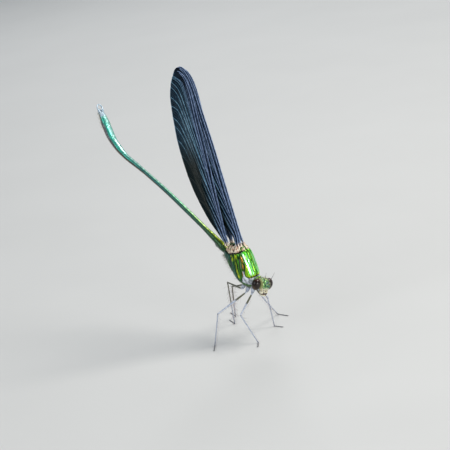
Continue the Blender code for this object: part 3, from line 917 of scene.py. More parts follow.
def make_abdomen():
    """Ten segments under one skin, with a keel above, folds low on the flanks, hairs and claspers."""
    path, total = abdomen_path(), sum(SEGMENT_LENGTHS)
    joints = np.cumsum((0, *SEGMENT_LENGTHS))
    beside = [joints + gap for gap in (-0.1, -0.04, 0, 0.04, 0.1)]
    distance = np.unique(np.concatenate([np.arange(0, total, 0.16), *beside]))
    distance = distance[(distance >= 0) & (distance <= total)]
    point, _, upward = along_abdomen(path, distance)
    angle = 2 * np.pi * np.arange(ABDOMEN_COLUMNS)[None] / ABDOMEN_COLUMNS
    rise = np.sin(angle)
    height = np.degrees(np.arcsin(rise))
    station = distance[:, None]
    share = np.broadcast_to(station / total, (len(distance), rise.size))
    to_joint = np.abs(station - joints[1:-1]).min(1)[:, None]
    waist = 1 - 0.035 * bump(to_joint, 0, 0.07) + 0.02 * bump(to_joint, 0.22, 0.13)
    keel, fold, belly = bump(np.degrees(angle), 90, 9), bump(height, -7, 6), bump(height, -90, 14)
    relief = 0.05 * keel - 0.10 * fold - 0.01 * belly
    width = between(ABDOMEN_GIRTH, distance)[:, None] * waist * (1 + relief)
    lump = 0.35 * bump(station, 2.6, 0.7) * bump(rise, -1, 0.25)
    spokes = np.cos(angle)[..., None] * (0, 1, 0) + rise[..., None] * upward[:, None]
    rings = point[:, None] + spokes * (width + lump)[..., None]
    border = between(FLANK_BORDER, distance)[:, None] + 0.05 * np.sin(1.7 * station)
    dark = 0.3 * bump(to_joint, 0, 0.06) + 0.8 * bump(height, -7, 5) + bump(height, -90, 12)
    values = {
        "along": share,
        "flank": fall(rise, border - 0.12, border + 0.12),
        # Painted highlight along the top of the abdomen.
        "crest": bump(height, 90, 21 + 5 * step(share, 0.6, 0.85)) * (0.8 + 0.2 * np.sin(5 * station)),
        "edge": bump(height, -21, 7) * step(share, 0.3, 0.6),
        "dark": capped(dark),
    }
    shape = Shape()
    add_loft(shape, rings, **values)
    nodes = [f"abdomen_{number:02d}" for number in range(1, 11)]
    make_piece("abdomen", shape, "abdomen", nodes)
    ends = 3 * step(distance, 40, 44) + step(-distance, -5, -1)
    chance = (0.12 + ends)[:, None] * (0.3 + step(-rise, -0.2, 0.6))
    skin_hairs("abdomen", rings, chance, unit(point[-1] - point[0]))
    make_claspers(*along_abdomen(path, total))


def make_claspers(root, back, upward):
    """The upper pair curves out and in again like forceps; the lower pair is short and stout."""
    for side, sign in SIDES:
        out = np.array((0, sign, 0))
        upper, lower = Shape(), Shape()
        points = [root + back * a + out * b + upward * (0.25 - 0.04 * a * a) for a, b, _ in UPPER_CLASPER]
        add_limb(upper, points, [radius for _, _, radius in UPPER_CLASPER], 16, (0, 1, 0), 40)
        tooth = [points[1] - out * inward + back * behind for inward, behind in CLASPER_TOOTH]
        add_limb(upper, tooth, (0.12, 0.09, 0.04), 10, upward, 10)
        make_piece(f"upper_clasper_{side}", upper, "clasper", [f"cercus_{side}"])
        points = [root + back * a + out * b - upward * (0.34 - 0.1 * a) for a, b, _ in LOWER_CLASPER]
        add_limb(lower, points, [radius for _, _, radius in LOWER_CLASPER], 14, (0, 1, 0), 24)
        node = f"lower_clasper_{side}"
        make_piece(f"{node}_shell", lower, "clasper", [node])


# Head, as in the solids, and its parts in the head's frame.
CAPSULE_HALF_WIDTH = 1.15
CAPSULE_FRONT, CAPSULE_BACK, CAPSULE_TOP, CAPSULE_BOTTOM = 1.5, 0.5, 1.45, 1.0
FACE_ANGLE, FACE_SWELL, FACE_SPREAD, FACE_WIDTH = -12, 0.5, 36, 0.85
EYE_SPREAD, EYE_RADII = 2.0, (1.0, 1.0, 1.3)
OCELLI = ((0.9, 0, 1.22), (0.42, 0.36, 1.4), (0.42, -0.36, 1.4))
ANTENNA_POINTS = (
    (1.1, 0.9, 0.72), (1.2, 0.93, 0.95), (1.32, 1.02, 1.35),
    (1.5, 1.18, 2.0), (1.62, 1.3, 2.5), (1.7, 1.4, 2.9),
)
ANTENNA_RADII = (0.11, 0.10, 0.055, 0.035, 0.026, 0.016)
RIDGE_DEPTH, RIDGE_RADII = 0.04, (0.04, 0.1, 0.15, 0.17, 0.18, 0.18, 0.17, 0.12, 0.05)
PALP_POINTS = ((0.5, 0.48, -2.25), (0.95, 0.52, -2.3), (1.3, 0.34, -2.2), (1.42, 0.12, -2.0))
JAW_TIP = ((0.9, 0.72, -1.78), (1.15, 0.48, -1.93), (1.3, 0.16, -1.98))


def capsule_rings():
    """The capsule's rings from right to left, and each point's place across and angle above the front."""
    rows, columns = HEAD_GRID
    y = np.linspace(-1, 1, rows)[:, None] * CAPSULE_HALF_WIDTH
    share = np.abs(y) / CAPSULE_HALF_WIDTH
    degrees = np.linspace(-180, 180, columns, endpoint=False)[None]
    c, s = np.cos(np.radians(degrees)), np.sin(np.radians(degrees))
    front, back = CAPSULE_FRONT * (1 - 0.42 * share**2), CAPSULE_BACK * (1 + 0.1 * share)
    top, bottom = CAPSULE_TOP * (1 - 0.13 * share), CAPSULE_BOTTOM * (1 - 0.05 * share)
    swell = FACE_SWELL * np.exp(-(((degrees - FACE_ANGLE) / FACE_SPREAD) ** 2) - (y / FACE_WIDTH) ** 2)
    x = c * (np.where(c > 0, front, back) + swell)
    z = s * (np.where(s > 0, top, bottom) + swell)
    return np.stack([x, y * np.ones_like(x), z], -1), y * np.ones_like(x), degrees * np.ones_like(x)


def make_head():
    """The capsule: nose, lip, brow and cheeks stand out, with seams sunk between them."""
    rings, y, degrees = capsule_rings()
    x, outward, beside = rings[..., 0], grid_normals(rings), np.abs(y)
    seams = bump(degrees, 12, 3) + bump(degrees, -35, 2.5) + 0.7 * bump(degrees, -18, 2.2)
    seams = seams * fall(beside, 0.7, 0.9) + 0.8 * bump(degrees, 44, 2.5) * fall(beside, 0.55, 0.75)
    nose = bump(degrees, -4, 13) * bump(y, 0, 0.55)
    lip = bump(degrees, -26, 6) * bump(y, 0, 0.6)
    brow = bump(degrees, 28, 10) * bump(y, 0, 0.7)
    cheek = bump(degrees, -55, 16) * bump(beside, 0.82, 0.2)
    eye_line = bump(beside, 1.03, 0.07) * step(degrees, -85, -60) * fall(degrees, 70, 95)
    nape = bump(degrees, 118, 9) * step(beside, 0.15, 0.4)
    mounds = sum(bump(x, ahead, 0.16) * bump(y, left, 0.16) for ahead, left, _ in OCELLI)
    mounds = mounds * step(degrees, 20, 40)
    lift = 0.13 * nose + 0.06 * lip + 0.05 * brow - 0.08 * seams + 0.1 * cheek
    lift += 0.08 * nape + 0.06 * eye_line + 0.07 * mounds
    rings = rings + outward * lift[..., None]
    behind = step(np.abs(degrees), 122, 140)
    values = {
        "mosaic": step(degrees, -24, -16) * fall(degrees, 95, 110) * fall(beside, 0.85, 1.0),
        "teal": capped(bump(degrees, -12, 4) * bump(y, 0, 0.5) + 0.5 * bump(degrees, 100, 12)),
        "pale": capped(1.3 * bump(degrees, -26, 7) * bump(y, 0, 0.7)),
        "cream": capped(0.55 * step(beside, 0.94, 1.02) * step(degrees, -85, -60) + 1.2 * cheek),
        "mint": 0.8 * step(beside, 0.95, 1.1) * behind,
        "dark": capped(0.9 * seams * step(-degrees, -60, -40) + 0.5 * behind),
    }
    shape = Shape()
    add_domed(shape, rings, in_head, 0.2, 4, values)
    make_piece("head_capsule", shape, "head", ["head"])
    chance = step(degrees, -50, -20) * fall(degrees, 100, 130) + 0.6 * bump(degrees, 125, 12) + 0.02
    skin_hairs("head", in_head(rings), chance, HEAD_TURN @ (0.4, 0, 0.5))
    ocelli = Shape()
    for place in OCELLI:
        add_knob(ocelli, np.array(place) + (0.03, 0, 0.05), (0.11, 0.11, 0.1), 12, 20)
    make_piece("ocelli", ocelli, "ocellus")
    for side, sign in SIDES:
        make_eye(side, sign)
        make_antenna(side, sign)


def make_eye(side, sign):
    """A tall oval eye sunk into the side of the head, and the pale ridge that holds it from behind."""
    shape, ridge = Shape(), Shape()
    rings = ball((0, sign * EYE_SPREAD, 0), EYE_RADII, 56, 80)
    x, y, z = np.moveaxis(rings, -1, 0)
    behind = step(-x, 0.15, 0.75) + step(z, 0.7, 1.15)
    low = step(-z, 0.0, 0.8) * bump(x, 0.15, 0.4) + step(-z, 0.95, 1.2)
    rim = capped(fall(np.abs(y), 1.2, 1.45) + behind)
    add_loft(shape, in_head(rings), low=capped(low), rim=rim)
    make_piece(f"eye_{side}_facets", shape, "eye", [f"eye_{side}"])
    turn = np.radians(np.linspace(110, 285, len(RIDGE_RADII)))
    across, _, tall = np.array(EYE_RADII) - RIDGE_DEPTH
    points = [(across * math.cos(a), sign * (EYE_SPREAD - 0.28), tall * math.sin(a)) for a in turn]
    add_limb(ridge, in_head(points), RIDGE_RADII, 14, HEAD_TURN[:, 1], 50, mint=1.0)
    make_piece(f"eye_{side}_ridge", ridge, "head")


def make_antenna(side, sign):
    """A short feeler that tapers to a thread from two swollen joints."""
    shape = Shape()
    points = on_side(ANTENNA_POINTS, sign)
    add_limb(shape, in_head(points), ANTENNA_RADII, 12, HEAD_TURN[:, 1], 50)
    for point, size in zip(points, (0.16, 0.12, 0.075)):
        add_knob(shape, point, (size, size, 0.8 * size), 12, 20)
    make_piece(f"antenna_{side}_thread", shape, "dark", [f"antenna_{side}"])


def make_mouth():
    """The lip shield under the face, the scoop of the lower lip with its hooks, and the jaws."""
    labrum, labium = Shape(), Shape()
    rings = ball((1.28, 0, -1.26), (0.34, 0.66, 0.48), 40, 52, 0.62)
    x, y, z = np.moveaxis(rings, -1, 0)  # views, so what is added to them moves the rings
    z += 0.12 * (y / 0.66) ** 2
    x -= 0.06 * bump(z, -1.1, 0.05) + 0.05 * bump(y, 0, 0.06) * step(-z, 1.3, 1.6)
    spots = bump(np.abs(y), 0.34, 0.15) * bump(z, -1.25, 0.13)
    add_loft(labrum, in_head(rings), brown=capped(spots + bump(z, -1.08, 0.04) + step(-z, 1.62, 1.7)))
    add_knob(labrum, (1.08, 0, -0.92), (0.42, 0.7, 0.26), 20, 36, 0.8)
    make_piece("labrum_shield", labrum, "mouth", ["labrum"])
    add_knob(labium, (0.7, 0, -2.2), (0.52, 0.54, 0.32), 20, 32, 0.8)
    brown = np.pad(step(np.linspace(0, 1, 20), 0.7, 0.95), 3, mode="edge")
    for _, sign in SIDES:
        palp = in_head(on_side(PALP_POINTS, sign))
        add_limb(labium, palp, (0.2, 0.16, 0.1, 0.05), 12, HEAD_TURN[:, 1], 20, brown=brown)
    make_piece("labium_scoop", labium, "mouth", ["labium"])
    for side, sign in SIDES:
        jaw = Shape()
        rings = ball((0.7, sign * 0.8, -1.5), (0.52, 0.32, 0.56), 26, 36, 0.75)
        z = rings[..., 2]
        add_loft(jaw, in_head(rings), brown=capped(bump(z, -1.3, 0.05) + step(-z, 1.8, 2.0)))
        add_knob(jaw, (0.68, sign * 0.86, -0.98), (0.5, 0.28, 0.36), 20, 30, 0.8, brown=0.15)
        tip = in_head(on_side(JAW_TIP, sign))
        add_limb(jaw, tip, (0.24, 0.18, 0.06), 12, HEAD_TURN[:, 2], 16, brown=1.0)
        make_piece(f"mandible_{side}_jaw", jaw, "mouth", [f"mandible_{side}"])


# Legs


def limb_ends(node):
    """The middles of a straight solid's two ends, in millimetres."""
    points = np.array([v.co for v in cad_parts[node].data.vertices]) / MM
    middle = points.mean(0)
    axis = np.linalg.svd(points - middle, full_matrices=False)[2][0]
    along = (points - middle) @ axis
    return [points[np.abs(along - end) < 0.05].mean(0) for end in (along.min(), along.max())]


def in_order(ends, before):
    """The two ends, with the one nearer to a point first."""
    return sorted(ends, key=lambda end: np.linalg.norm(end - before))


COXA_START = (0.5, 0, 1.2)
LEG_PAIRS, LEG_PARTS = ("front", "middle", "hind"), ("coxa", "femur", "tibia", "tarsus")
# Share of each femur from which it is painted lit, silvery blue, instead of shaded olive.
LIT_FROM = {"front": 0.45, "middle": 0.36, "hind": 1.2}
COXA_RADII, HIP_RADII = (0.5, 0.46, 0.3), (0.22, 0.17, 0.15)
FEMUR_RADII, TIBIA_RADII = (0.15, 0.21, 0.2, 0.16, 0.15), (0.145, 0.13, 0.12, 0.115, 0.13)
TARSUS_JOINTS, TARSUS_RADIUS, TARSUS_HEIGHT = (0, 0.3, 0.62, 1), 0.085, 0.1
CLAW = ((-0.03, 0, 0), (0.14, 0.1, 0.03), (0.26, 0.16, -0.02), (0.3, 0.17, -0.075))  # ahead, beside and up


def leg_points(pair, side):
    """Where a leg's joints are, from the body out: coxa, hip, knee, heel and toe."""
    name = f"leg_{pair}_{side}"
    coxa, hip = in_order(limb_ends(f"{name}_coxa"), in_body(COXA_START))
    femur, knee = in_order(limb_ends(f"{name}_femur"), hip)
    heel = in_order(limb_ends(f"{name}_tibia"), knee)[1]
    toe = in_order(limb_ends(f"{name}_tarsus"), heel)[1]
    heel, toe = heel.copy(), toe.copy()
    heel[2], toe[2] = TARSUS_HEIGHT * 1.6, TARSUS_HEIGHT
    return coxa, hip, femur, knee, heel, toe


def add_bristles(shape, start, end, base, count, length, lean, turn, radius, thickness=0.018):
    """Two combs of long bristles along a limb, turned to both sides of the way they lean."""
    t = (np.arange(count) + 0.5 + RANDOM.uniform(-0.2, 0.2, count)) / count
    along = unit(end - start)
    out = unit(lean - along * (lean @ along))
    other = np.cross(along, out)
    for sign in (-1, 1):
        spread = math.radians(turn) * sign
        side = unit(out * math.cos(spread) + other * math.sin(spread))
        roots = start + (end - start) * t[:, None] + side * radius * 0.7
        uv = np.stack([base + 0.3 * t, np.full(count, 0.5 + 0.2 * sign)], -1)
        lengths = length * RANDOM.uniform(0.7, 1.15, count) * (1 - 0.35 * t)
        outward, lie = (np.broadcast_to(way, roots.shape) for way in (side, along * 0.75))
        add_hairs(shape, roots, outward, lie, lengths, thickness, uv, 0.95, 4)


def make_leg(pair, side):
    """A leg's joints under one skin, with combs of bristles along its inner side."""
    name, hind = f"leg_{pair}_{side}", float(pair == "hind")
    coxa, hip, femur, knee, heel, toe = leg_points(pair, side)
    thigh, start = knee - femur, knee + (heel - knee) * 0.02
    shin = heel - start
    reference = unit(np.cross(knee - hip, heel - knee))
    shape, bristles = Shape(), Shape()
    t = np.linspace(0, 1, 26)
    dark = 0.8 * bump(t, 0.30, 0.05) + 0.9 * bump(t, 0.86, 0.05)
    points = (coxa + (coxa - hip) * 0.35, (coxa + hip) / 2, hip)
    # The coxae and hips are painted lit, pale silvery blue.
    add_limb(shape, points, COXA_RADII, 20, reference, 20, silver=1.0, dark=dark)
    add_limb(shape, (hip, femur, femur + thigh * 0.06), HIP_RADII, 14, reference, 10, silver=0.8)
    t = np.linspace(0, 1, 66)
    # Painted light and shade along the femur: shaded olive near the body, lit silver beyond.
    silver = step(t, LIT_FROM[pair] - 0.06, LIT_FROM[pair] + 0.06)
    values = {"olive": 1 - silver, "silver": silver, "dark": step(t, 0.965, 0.985)}
    points = [femur + thigh * share for share in (0, 0.25, 0.5, 0.8, 1)]
    add_limb(shape, points, FEMUR_RADII, 16, reference, 60, **values)
    # Painted light and shade along the tibia: lit silver that fades into painted shade towards the foot, and
    # shaded olive on the upper hind tibia.
    values = {
        "olive": hind * fall(t, 0.38, 0.5),
        "silver": 0.85 - 0.55 * step(t, 0.55, 0.95),
        "dark": capped(fall(t, 0.02, 0.06) + step(t, 0.97, 0.995)),
    }
    points = [start + shin * share for share in (0, 0.3, 0.6, 0.85, 1)]
    add_limb(shape, points, TIBIA_RADII, 14, reference, 60, **values)
    make_foot(shape, heel, toe)
    make_piece(name, shape, "leg", [f"{name}_{part}" for part in LEG_PARTS])
    inner = unit((hip - knee) * (1, 1, 0) - (0, 0, 3.0))
    below = np.array((0, 0, -0.4)) + inner * 0.1
    count, length = 15 + int(13 * hind), 0.85 + 0.1 * hind
    turn, thickness = 32 + 20 * hind, 0.018 + 0.01 * hind
    add_bristles(bristles, femur + thigh * 0.15, knee, 0.05, 11, 0.75, inner, 35, 0.18)
    add_bristles(bristles, start + shin * 0.05, heel, 0.4, count, length, inner, turn, 0.12, thickness)
    add_bristles(bristles, heel, toe, 0.75, 6, 0.28, below, 60, 0.05)
    make_piece(f"{name}_bristles", bristles, "dark_hair")


def make_foot(shape, heel, toe):
    """Three short joints that lie on the floor, and two hooked claws."""
    radii = TARSUS_RADIUS * np.array((0.75, 0.85, 1))
    for first, last in zip(TARSUS_JOINTS, TARSUS_JOINTS[1:]):
        points = [heel + (toe - heel) * (first + (last - first) * s) for s in (0.04, 0.5, 0.94)]
        add_limb(shape, points, radii, 10, (0, 0, 1), 10, dark=0.5)
    ahead = unit((toe - heel) * (1, 1, 0))
    beside = np.array((-ahead[1], ahead[0], 0))
    for sign in (-1, 1):
        claw = [toe + ahead * x + beside * sign * y + (0, 0, z) for x, y, z in CLAW]
        add_limb(shape, claw, (0.05, 0.04, 0.025, 0.01), 8, (0, 0, 1), 12, dark=1.0)


# Wings: place of each root in the body's frame, rise, length and distance from the middle plane.
WINGS = {
    "forewing": {"root": (-3.8, 0, 7.85), "rise": 76, "length": 40.2, "out": 0.28},
    "hindwing": {"root": (-6.85, 0, 6.2), "rise": 81.3, "length": 38.8, "out": 0.9},
}
# Wing outline: share of the wing's length, and millimetres behind the line from root to tip.
WING_EDGE = (
    (0.0, -0.1), (0.27, -0.75), (0.53, -1.45), (0.70, -1.7), (0.87, -1.9), (0.96, -1.25), (1.0, 0.4),
    (0.975, 2.4), (0.88, 4.6), (0.74, 5.8), (0.56, 6.5), (0.34, 5.9), (0.16, 3.9), (0.05, 1.8), (0.0, 0.9),
)
WING_TIP = 6  # its place in the outline
ROOT_START, ROOT_END = -0.75, 2.2  # where the sheet leaves the thorax and where it is flat, in millimetres
# Veins by where they leave their stem, pass, bend and meet the rear edge: shares of the wing's length, and
# millimetres behind the line from root to tip.
BRANCHES = (
    ((0.12, 0.62), (0.45, -0.05), (0.92, -0.35), 0.978),
    ((0.45, 0.00), (0.75, -0.10), (0.935, 0.15), 0.972),
    ((0.55, 0.20), (0.75, 0.35), (0.915, 0.55), 0.967),
    ((0.40, 0.12), (0.65, 0.75), (0.88, 1.25), 0.948),
    ((0.22, 0.55), (0.55, 1.15), (0.845, 2.05), 0.92),
    ((0.45, 1.15), (0.65, 1.90), (0.80, 2.6), 0.868),
    ((0.16, 0.62), (0.45, 1.80), (0.77, 3.3), 0.815),
    ((0.30, 1.50), (0.50, 2.55), (0.68, 3.75), 0.752),
    ((0.12, 0.70), (0.35, 2.30), (0.61, 4.1), 0.70),
    ((0.07, 0.78), (0.30, 2.70), (0.545, 4.5), 0.627),
    ((0.20, 2.20), (0.32, 3.30), (0.45, 4.55), 0.53),
    ((-0.019, 0.80), (0.08, 1.25), (0.34, 3.9), 0.41),
    ((0.01, 0.86), (0.10, 1.90), (0.2, 3.0), 0.27),
)
ROOT_SHARE = 0.02  # branches that start beyond this share of the length leave another vein
VEIN_STEP, CROSS_STEP = 0.25, 0.36
SHEET, EDGE_GAP = 0.03, 0.03  # the sheet's thickness, and how far inside the rear edge the veins stay
# Thickness of the veins by kind, as radii; those above STOUT swell towards the root.
COSTA, RADIUS, BRANCH, FRONT_VEIN, TWIG, CROSS = 0.10, 0.11, 0.082, 0.05, 0.04, 0.026
STOUT, SECOND_VEIN, REAR_VEIN = 0.065, 0.07, 0.05
# Fine veins along the front edge: how far between the edge vein and the second, start, end and height.
FRONT_VEINS = ((0.5, 0.43, 0.97, -0.08), (1.45, 0.25, 0.965, -0.08), (1.95, 0.35, 0.93, 0.06))


class Wing:
    """The outline of a wing, and the way from its sheet to the animal."""

    def __init__(self, kind, sign, surface):
        facts = WINGS[kind]
        self.length, self.sign = facts["length"], sign
        rise = math.radians(facts["rise"])
        self.along = np.array((-math.cos(rise), 0, math.sin(rise)))
        self.behind = np.array((-math.sin(rise), 0, -math.cos(rise)))
        self.root = in_body(facts["root"])
        edge = np.array(WING_EDGE) * (self.length, 1)
        front = spline(edge[: WING_TIP + 2], np.linspace(0, WING_TIP, 400))
        rear = spline(edge[WING_TIP - 1 :], np.linspace(1, len(edge) - WING_TIP, 400))
        rim = np.vstack([front, rear[1:]])
        tip = rim[:, 0].argmax()
        self.front, self.rear, self.reach = rim[: tip + 1], rim[tip:][::-1], rim[tip, 0]
        self.out = facts["out"]
        self.root_out = self.meet_thorax(surface)

    def meet_thorax(self, surface):
        """How far out the thorax is where the sheet leaves it, at a few places behind the wing's front."""
        table = []
        points = surface.reshape(-1, 3)
        points = points[points[:, 1] > 0]
        for b in np.linspace(-0.2, 1.0, 13):
            place = (self.root + ROOT_START * self.along + b * self.behind - HIPS) @ BODY_TURN
            nearest = np.linalg.norm(points[:, [0, 2]] - place[[0, 2]], axis=1).argmin()
            table.append((b, max(0.45, points[nearest, 1])))
        return np.array(table)

    def front_edge(self, s):
        return np.interp(s, self.front[:, 0], self.front[:, 1])

    def rear_edge(self, s):
        return np.interp(s, self.rear[:, 0], self.rear[:, 1])

    def place(self, s, b, lift=0.0):
        """Points of the wing's sheet in the animal's frame."""
        s, b = np.asarray(s, float), np.asarray(b, float)
        near_root = fall(s, ROOT_START, ROOT_END)
        root_out = np.interp(b, self.root_out[:, 0], self.root_out[:, 1])
        out = self.sign * (self.out + (root_out - self.out) * near_root + lift * (1 - near_root))
        flat = self.root + s[..., None] * self.along + b[..., None] * self.behind
        return flat + out[..., None] * np.array((0, 1, 0))


def vein_routes(wing):
    """The long veins as (points, radius, height, brightness): edge veins, branches and their twigs."""
    length = wing.length
    parts = np.linspace(ROOT_START, 0.96 * length, 170), np.linspace(0.965 * length, wing.reach - 0.02, 20)
    s = np.concatenate(parts)
    share, front, routes = s / length, wing.front_edge(s), []

    def add_front(gap, start, end, *facts):
        inside = (share > start) & (share < end)
        routes.append((np.stack([s, front + gap], -1)[inside], *facts))

    add_front(0.05, -1, 2, COSTA, 0.0, 1.0)
    for place, start, end, height in FRONT_VEINS:
        gap = place * np.interp(share, (0, 0.3, 0.7, 0.95, 1), (0.75, 0.9, 0.8, 0.5, 0.3))
        add_front(gap, start, end, FRONT_VEIN, height, 0.8)
    gap = np.interp(share, (0, 0.1, 0.38, 0.43), (0.25, 0.42, 0.3, 0.06))
    add_front(gap, -0.005, 0.43, SECOND_VEIN, -0.1, 0.9)
    gap = np.interp(share, (-0.02, 0.08, 0.3, 0.7, 0.95, 1), (0.42, 0.72, 0.9, 0.8, 0.5, 0.3))
    add_front(gap, -1, 0.99, RADIUS, 0.1, 1.0)
    parents, mains = [routes[-1][0]], []
    for number, (leave, middle, bend, meet) in enumerate(BRANCHES):
        end = np.array((meet * length, wing.rear_edge(meet * length) - EDGE_GAP))
        knots = [np.array((place[0] * length, place[1])) for place in (leave, middle, bend)]
        if leave[0] > ROOT_SHARE:
            older = [parent for parent in parents if parent[0, 0] < knots[0][0]]
            beside = [np.interp(knots[0][0], parent[:, 0], parent[:, 1]) for parent in older]
            knots[0][1] = min(beside, key=lambda b: abs(b - knots[0][1]))
        knots += [knots[-1] + (end - knots[-1]) * (0.62, 0.42), end]
        mains.append(curve(even(rounded(knots, 5), 0.5), 140))
        parents.append(mains[-1])
        routes.append((mains[-1], BRANCH, 0.09 if number % 2 else -0.09, 1.0))
    for first, second in zip(mains, mains[1:]):
        routes += twigs(wing, first, second)
    s = np.linspace(0.0, 1, 160) ** 0.8 * (wing.reach - 0.02)
    edge = np.stack([s, wing.rear_edge(s) - EDGE_GAP], -1)
    routes.append((edge, REAR_VEIN, 0.0, step(s / length, 0.35, 0.5)))
    return routes


def twigs(wing, first, second):
    """Thin veins that start between two branches and fan out to the rear edge."""
    found = []
    count = int(np.linalg.norm(first[-1] - second[-1]) / 0.7)
    for i in range(count):
        share = (i + 1) / (count + 1)
        depth = 0.40 + 0.3 * abs(2 * share - 1)
        place = np.linspace(depth, 1, 90) * (len(first) - 1)
        route = spline(first, place) * (1 - share) + spline(second, place) * share
        route[:, 1] = np.minimum(route[:, 1], wing.rear_edge(route[:, 0]) - EDGE_GAP)
        found.append((route, TWIG, 0.0, 0.35))
    return found


def even(route, spacing):
    """Points at even steps along a route."""
    run = np.append(0, np.cumsum(np.linalg.norm(np.diff(route, axis=0), axis=1)))
    places = np.linspace(0, run[-1], max(2, int(run[-1] / spacing) + 1))
    return np.stack([np.interp(places, run, route[:, i]) for i in (0, 1)], -1)


def cross_veins(routes):
    """Short struts from each vein to the next one behind it."""
    dense = [even(route[0], 0.06) for route in routes]
    owner = np.concatenate([np.full(len(d), i) for i, d in enumerate(dense)])
    targets = np.concatenate(dense)
    starts, ends = [], []
    for i, (route, *_) in enumerate(routes[:-1]):
        others = targets[owner != i]
        spots = even(route, CROSS_STEP)[1:-1]
        if len(spots) < 3:
            continue
        spots = spots + RANDOM.uniform(-0.06, 0.06, spots.shape) * (1, 0)
        along = unit(np.gradient(spots, axis=0))
        across = np.stack([-along[:, 1], along[:, 0]], -1)
        across *= np.sign(across[:, 1:])
        away = others[None] - spots[:, None]
        ahead = (away * across[:, None]).sum(-1)
        beside = np.abs((away * along[:, None]).sum(-1))
        ahead[(beside > 0.08) | (ahead < 0.12)] = 99
        nearest = ahead.argmin(1)
        hit = (ahead[np.arange(len(spots)), nearest] < 1.5) & (spots[:, 0] > 1.0)
        starts.append(spots[hit])
        ends.append(others[nearest[hit]])
    return np.concatenate(starts), np.concatenate(ends)


def make_wing(kind, side, sign, surface):
    """Veins as fine tubes, and a thin sheet that is pleated between them."""
    wing = Wing(kind, sign, surface)
    routes = vein_routes(wing)
    spots = [even(route, 0.45) for route, *_ in routes]
    heights = np.concatenate([np.full(len(spot), route[2]) for spot, route in zip(spots, routes)])
    knots = np.concatenate(spots)

    def lift(s, b):
        """The pleated sheet's height, drawn from the veins nearby."""
        flat = np.stack([np.ravel(s), np.ravel(b)], -1)
        weight = 1 / (((flat[:, None] - knots[None]) ** 2).sum(-1) + 0.03) ** 2
        return ((weight @ heights) / weight.sum(1)).reshape(np.shape(s))

    def rear(s, b):
        """1 low at the wing's rear, where it is darkest."""
        return step(b, 1.2, 2.8) * fall(s / wing.length, 0.45, 0.68)

    def front(s, b):
        """1 along the wing's front edge."""
        return fall(b - wing.front_edge(s), 1.0, 3.0)

    veins, sheet = Shape(), Shape()
    for route, radius, _, bright in routes:
        s, b = even(route, VEIN_STEP).T
        size = radius * (1 - 0.25 * s / wing.length)
        if radius > STOUT:
            size = size * (1 + 1.2 * bump(s, ROOT_START, 0.8))
        if radius == FRONT_VEIN:
            size = size * step(np.minimum(np.arange(len(s)), np.arange(len(s))[::-1]), -3, 8)
        if np.ndim(bright):
            bright = np.interp(s, route[:, 0], bright)[None]
        values = {"rear": rear(s, b), "root": fall(s, -0.3, 0.5), "front": front(s, b), "main": bright}
        sides = 8 if radius > TWIG else 6
        add_tubes(veins, wing.place(s, b, lift(s, b))[None], size[None], sides, (0, 1, 0), **values)
    starts, ends = cross_veins(routes)
    t = np.linspace(0, 1, 3)[None, :, None]
    s, b = np.moveaxis(starts[:, None] * (1 - t) + ends[:, None] * t, -1, 0)
    values = {"rear": rear(s, b), "front": front(s, b), "main": 0.3}
    add_tubes(veins, wing.place(s, b, lift(s, b)), CROSS, 4, (0, 1, 0), **values)
    make_piece(f"{kind}_{side}_veins", veins, "vein")
    rows, columns = SHEET_GRID
    along = 1 - (1 - np.linspace(0, 1, rows)[:, None]) ** 1.6
    s = ROOT_START + (wing.reach - 0.01 - ROOT_START) * along
    t = np.linspace(0, 1, columns)[None]
    b = wing.front_edge(s) * (1 - t) + wing.rear_edge(s) * t
    s = s * np.ones_like(b)
    middle, thin = wing.place(s, b, lift(s, b)), 0.5 * SHEET * wing.sign * np.array((0, 1, 0))
    tone = rear(s, b)
    loop = np.concatenate([middle + thin, (middle - thin)[:, ::-1]], 1)
    add_loft(sheet, loop, rear=np.concatenate([tone, tone[:, ::-1]], 1))
    make_piece(f"{kind}_{side}_membrane", sheet, "membrane", [f"{kind}_{side}"])


# Floor, light and camera

FLOOR_HALF, LIGHT_AIM = 3.0, (0.008, 0, 0.02)
# Lights: place, size, power and colour.
LIGHTS = (
    ("key", (0.30, 0.24, 0.52), 0.30, 2.9, (1, 0.97, 0.92)),
    ("front", (0.60, -0.16, 0.15), 0.18, 1.5, (1, 0.98, 0.95)),
    ("fill", (-0.10, -0.60, 0.40), 0.4, 1.1, (0.92, 0.96, 1)),
    ("back", (-0.35, 0.40, 0.4), 0.3, 1.0, (1, 1, 1)),
)


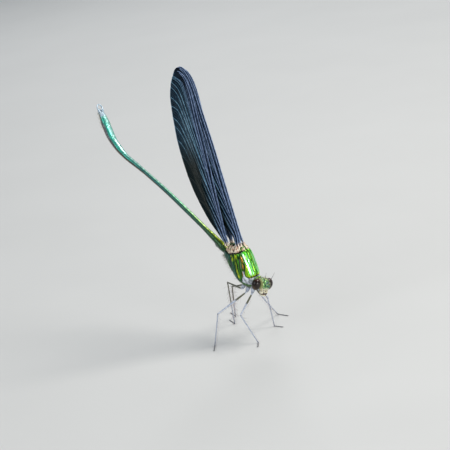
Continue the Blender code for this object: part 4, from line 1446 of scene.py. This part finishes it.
def make_floor():
    mesh = bpy.data.meshes.new("floor")
    corners = [(x * FLOOR_HALF, y * FLOOR_HALF, 0) for x, y in ((-1, -1), (1, -1), (1, 1), (-1, 1))]
    mesh.from_pydata(corners, [], [(0, 1, 2, 3)])
    floor = bpy.data.objects.new("floor", mesh)
    bpy.context.scene.collection.objects.link(floor)
    paint = Paint("pale_floor", Roughness=0.7)
    grey = paint.mix(paint.noise(40, 2), (0.60, 0.60, 0.59), (0.64, 0.64, 0.63))
    mesh.materials.append(paint.finish(grey))


def make_light():
    """A dim sky and soft square lights that face the animal."""
    scene = bpy.context.scene
    scene.world = bpy.data.worlds.new("studio")
    scene.world.use_nodes = True
    background = scene.world.node_tree.nodes["Background"]
    background.inputs["Color"].default_value = (0.8, 0.9, 1.0, 1)
    background.inputs["Strength"].default_value = 0.3
    scene.view_settings.view_transform = "Standard"
    for name, place, size, power, colour in LIGHTS:
        light = bpy.data.lights.new(name, "AREA")
        light.size, light.energy, light.color = size, power, colour
        lamp = bpy.data.objects.new(name, light)
        lamp.location = place
        lamp.rotation_euler = (Vector(LIGHT_AIM) - Vector(place)).to_track_quat("-Z", "Y").to_euler()
        scene.collection.objects.link(lamp)


def make_camera():
    """Places the camera by its angles, its aim and its distance."""
    azimuth, elevation, roll = (math.radians(a) for a in (CAMERA_AZIMUTH, CAMERA_ELEVATION, CAMERA_ROLL))
    flat = math.cos(elevation)
    back = Vector((math.sin(azimuth) * flat, -math.cos(azimuth) * flat, math.sin(elevation)))
    level = Vector((0, 0, 1)).cross(back).normalized()
    upright = back.cross(level)
    right = level * math.cos(roll) + upright * math.sin(roll)
    up = upright * math.cos(roll) - level * math.sin(roll)
    data = bpy.data.cameras.new("camera")
    data.lens, data.sensor_width, data.clip_start = CAMERA_LENS, 36, 0.01
    camera = bpy.data.objects.new("camera", data)
    place = (Vector(CAMERA_AIM) + back * CAMERA_DISTANCE) * MM
    camera.matrix_world = Matrix.Translation(place) @ Matrix((right, up, back)).transposed().to_4x4()
    bpy.context.scene.collection.objects.link(camera)
    bpy.context.scene.camera = camera


make_camera()
make_floor()
make_light()
thorax_surface = make_thorax()
make_wing_plates(thorax_surface)
make_collar()
make_back_plates()
make_abdomen()
make_head()
make_mouth()
for leg_side, _ in SIDES:
    for leg_pair in LEG_PAIRS:
        make_leg(leg_pair, leg_side)
for wing_side, wing_sign in SIDES:
    for wing_kind in WINGS:
        make_wing(wing_kind, wing_side, wing_sign, thorax_surface)
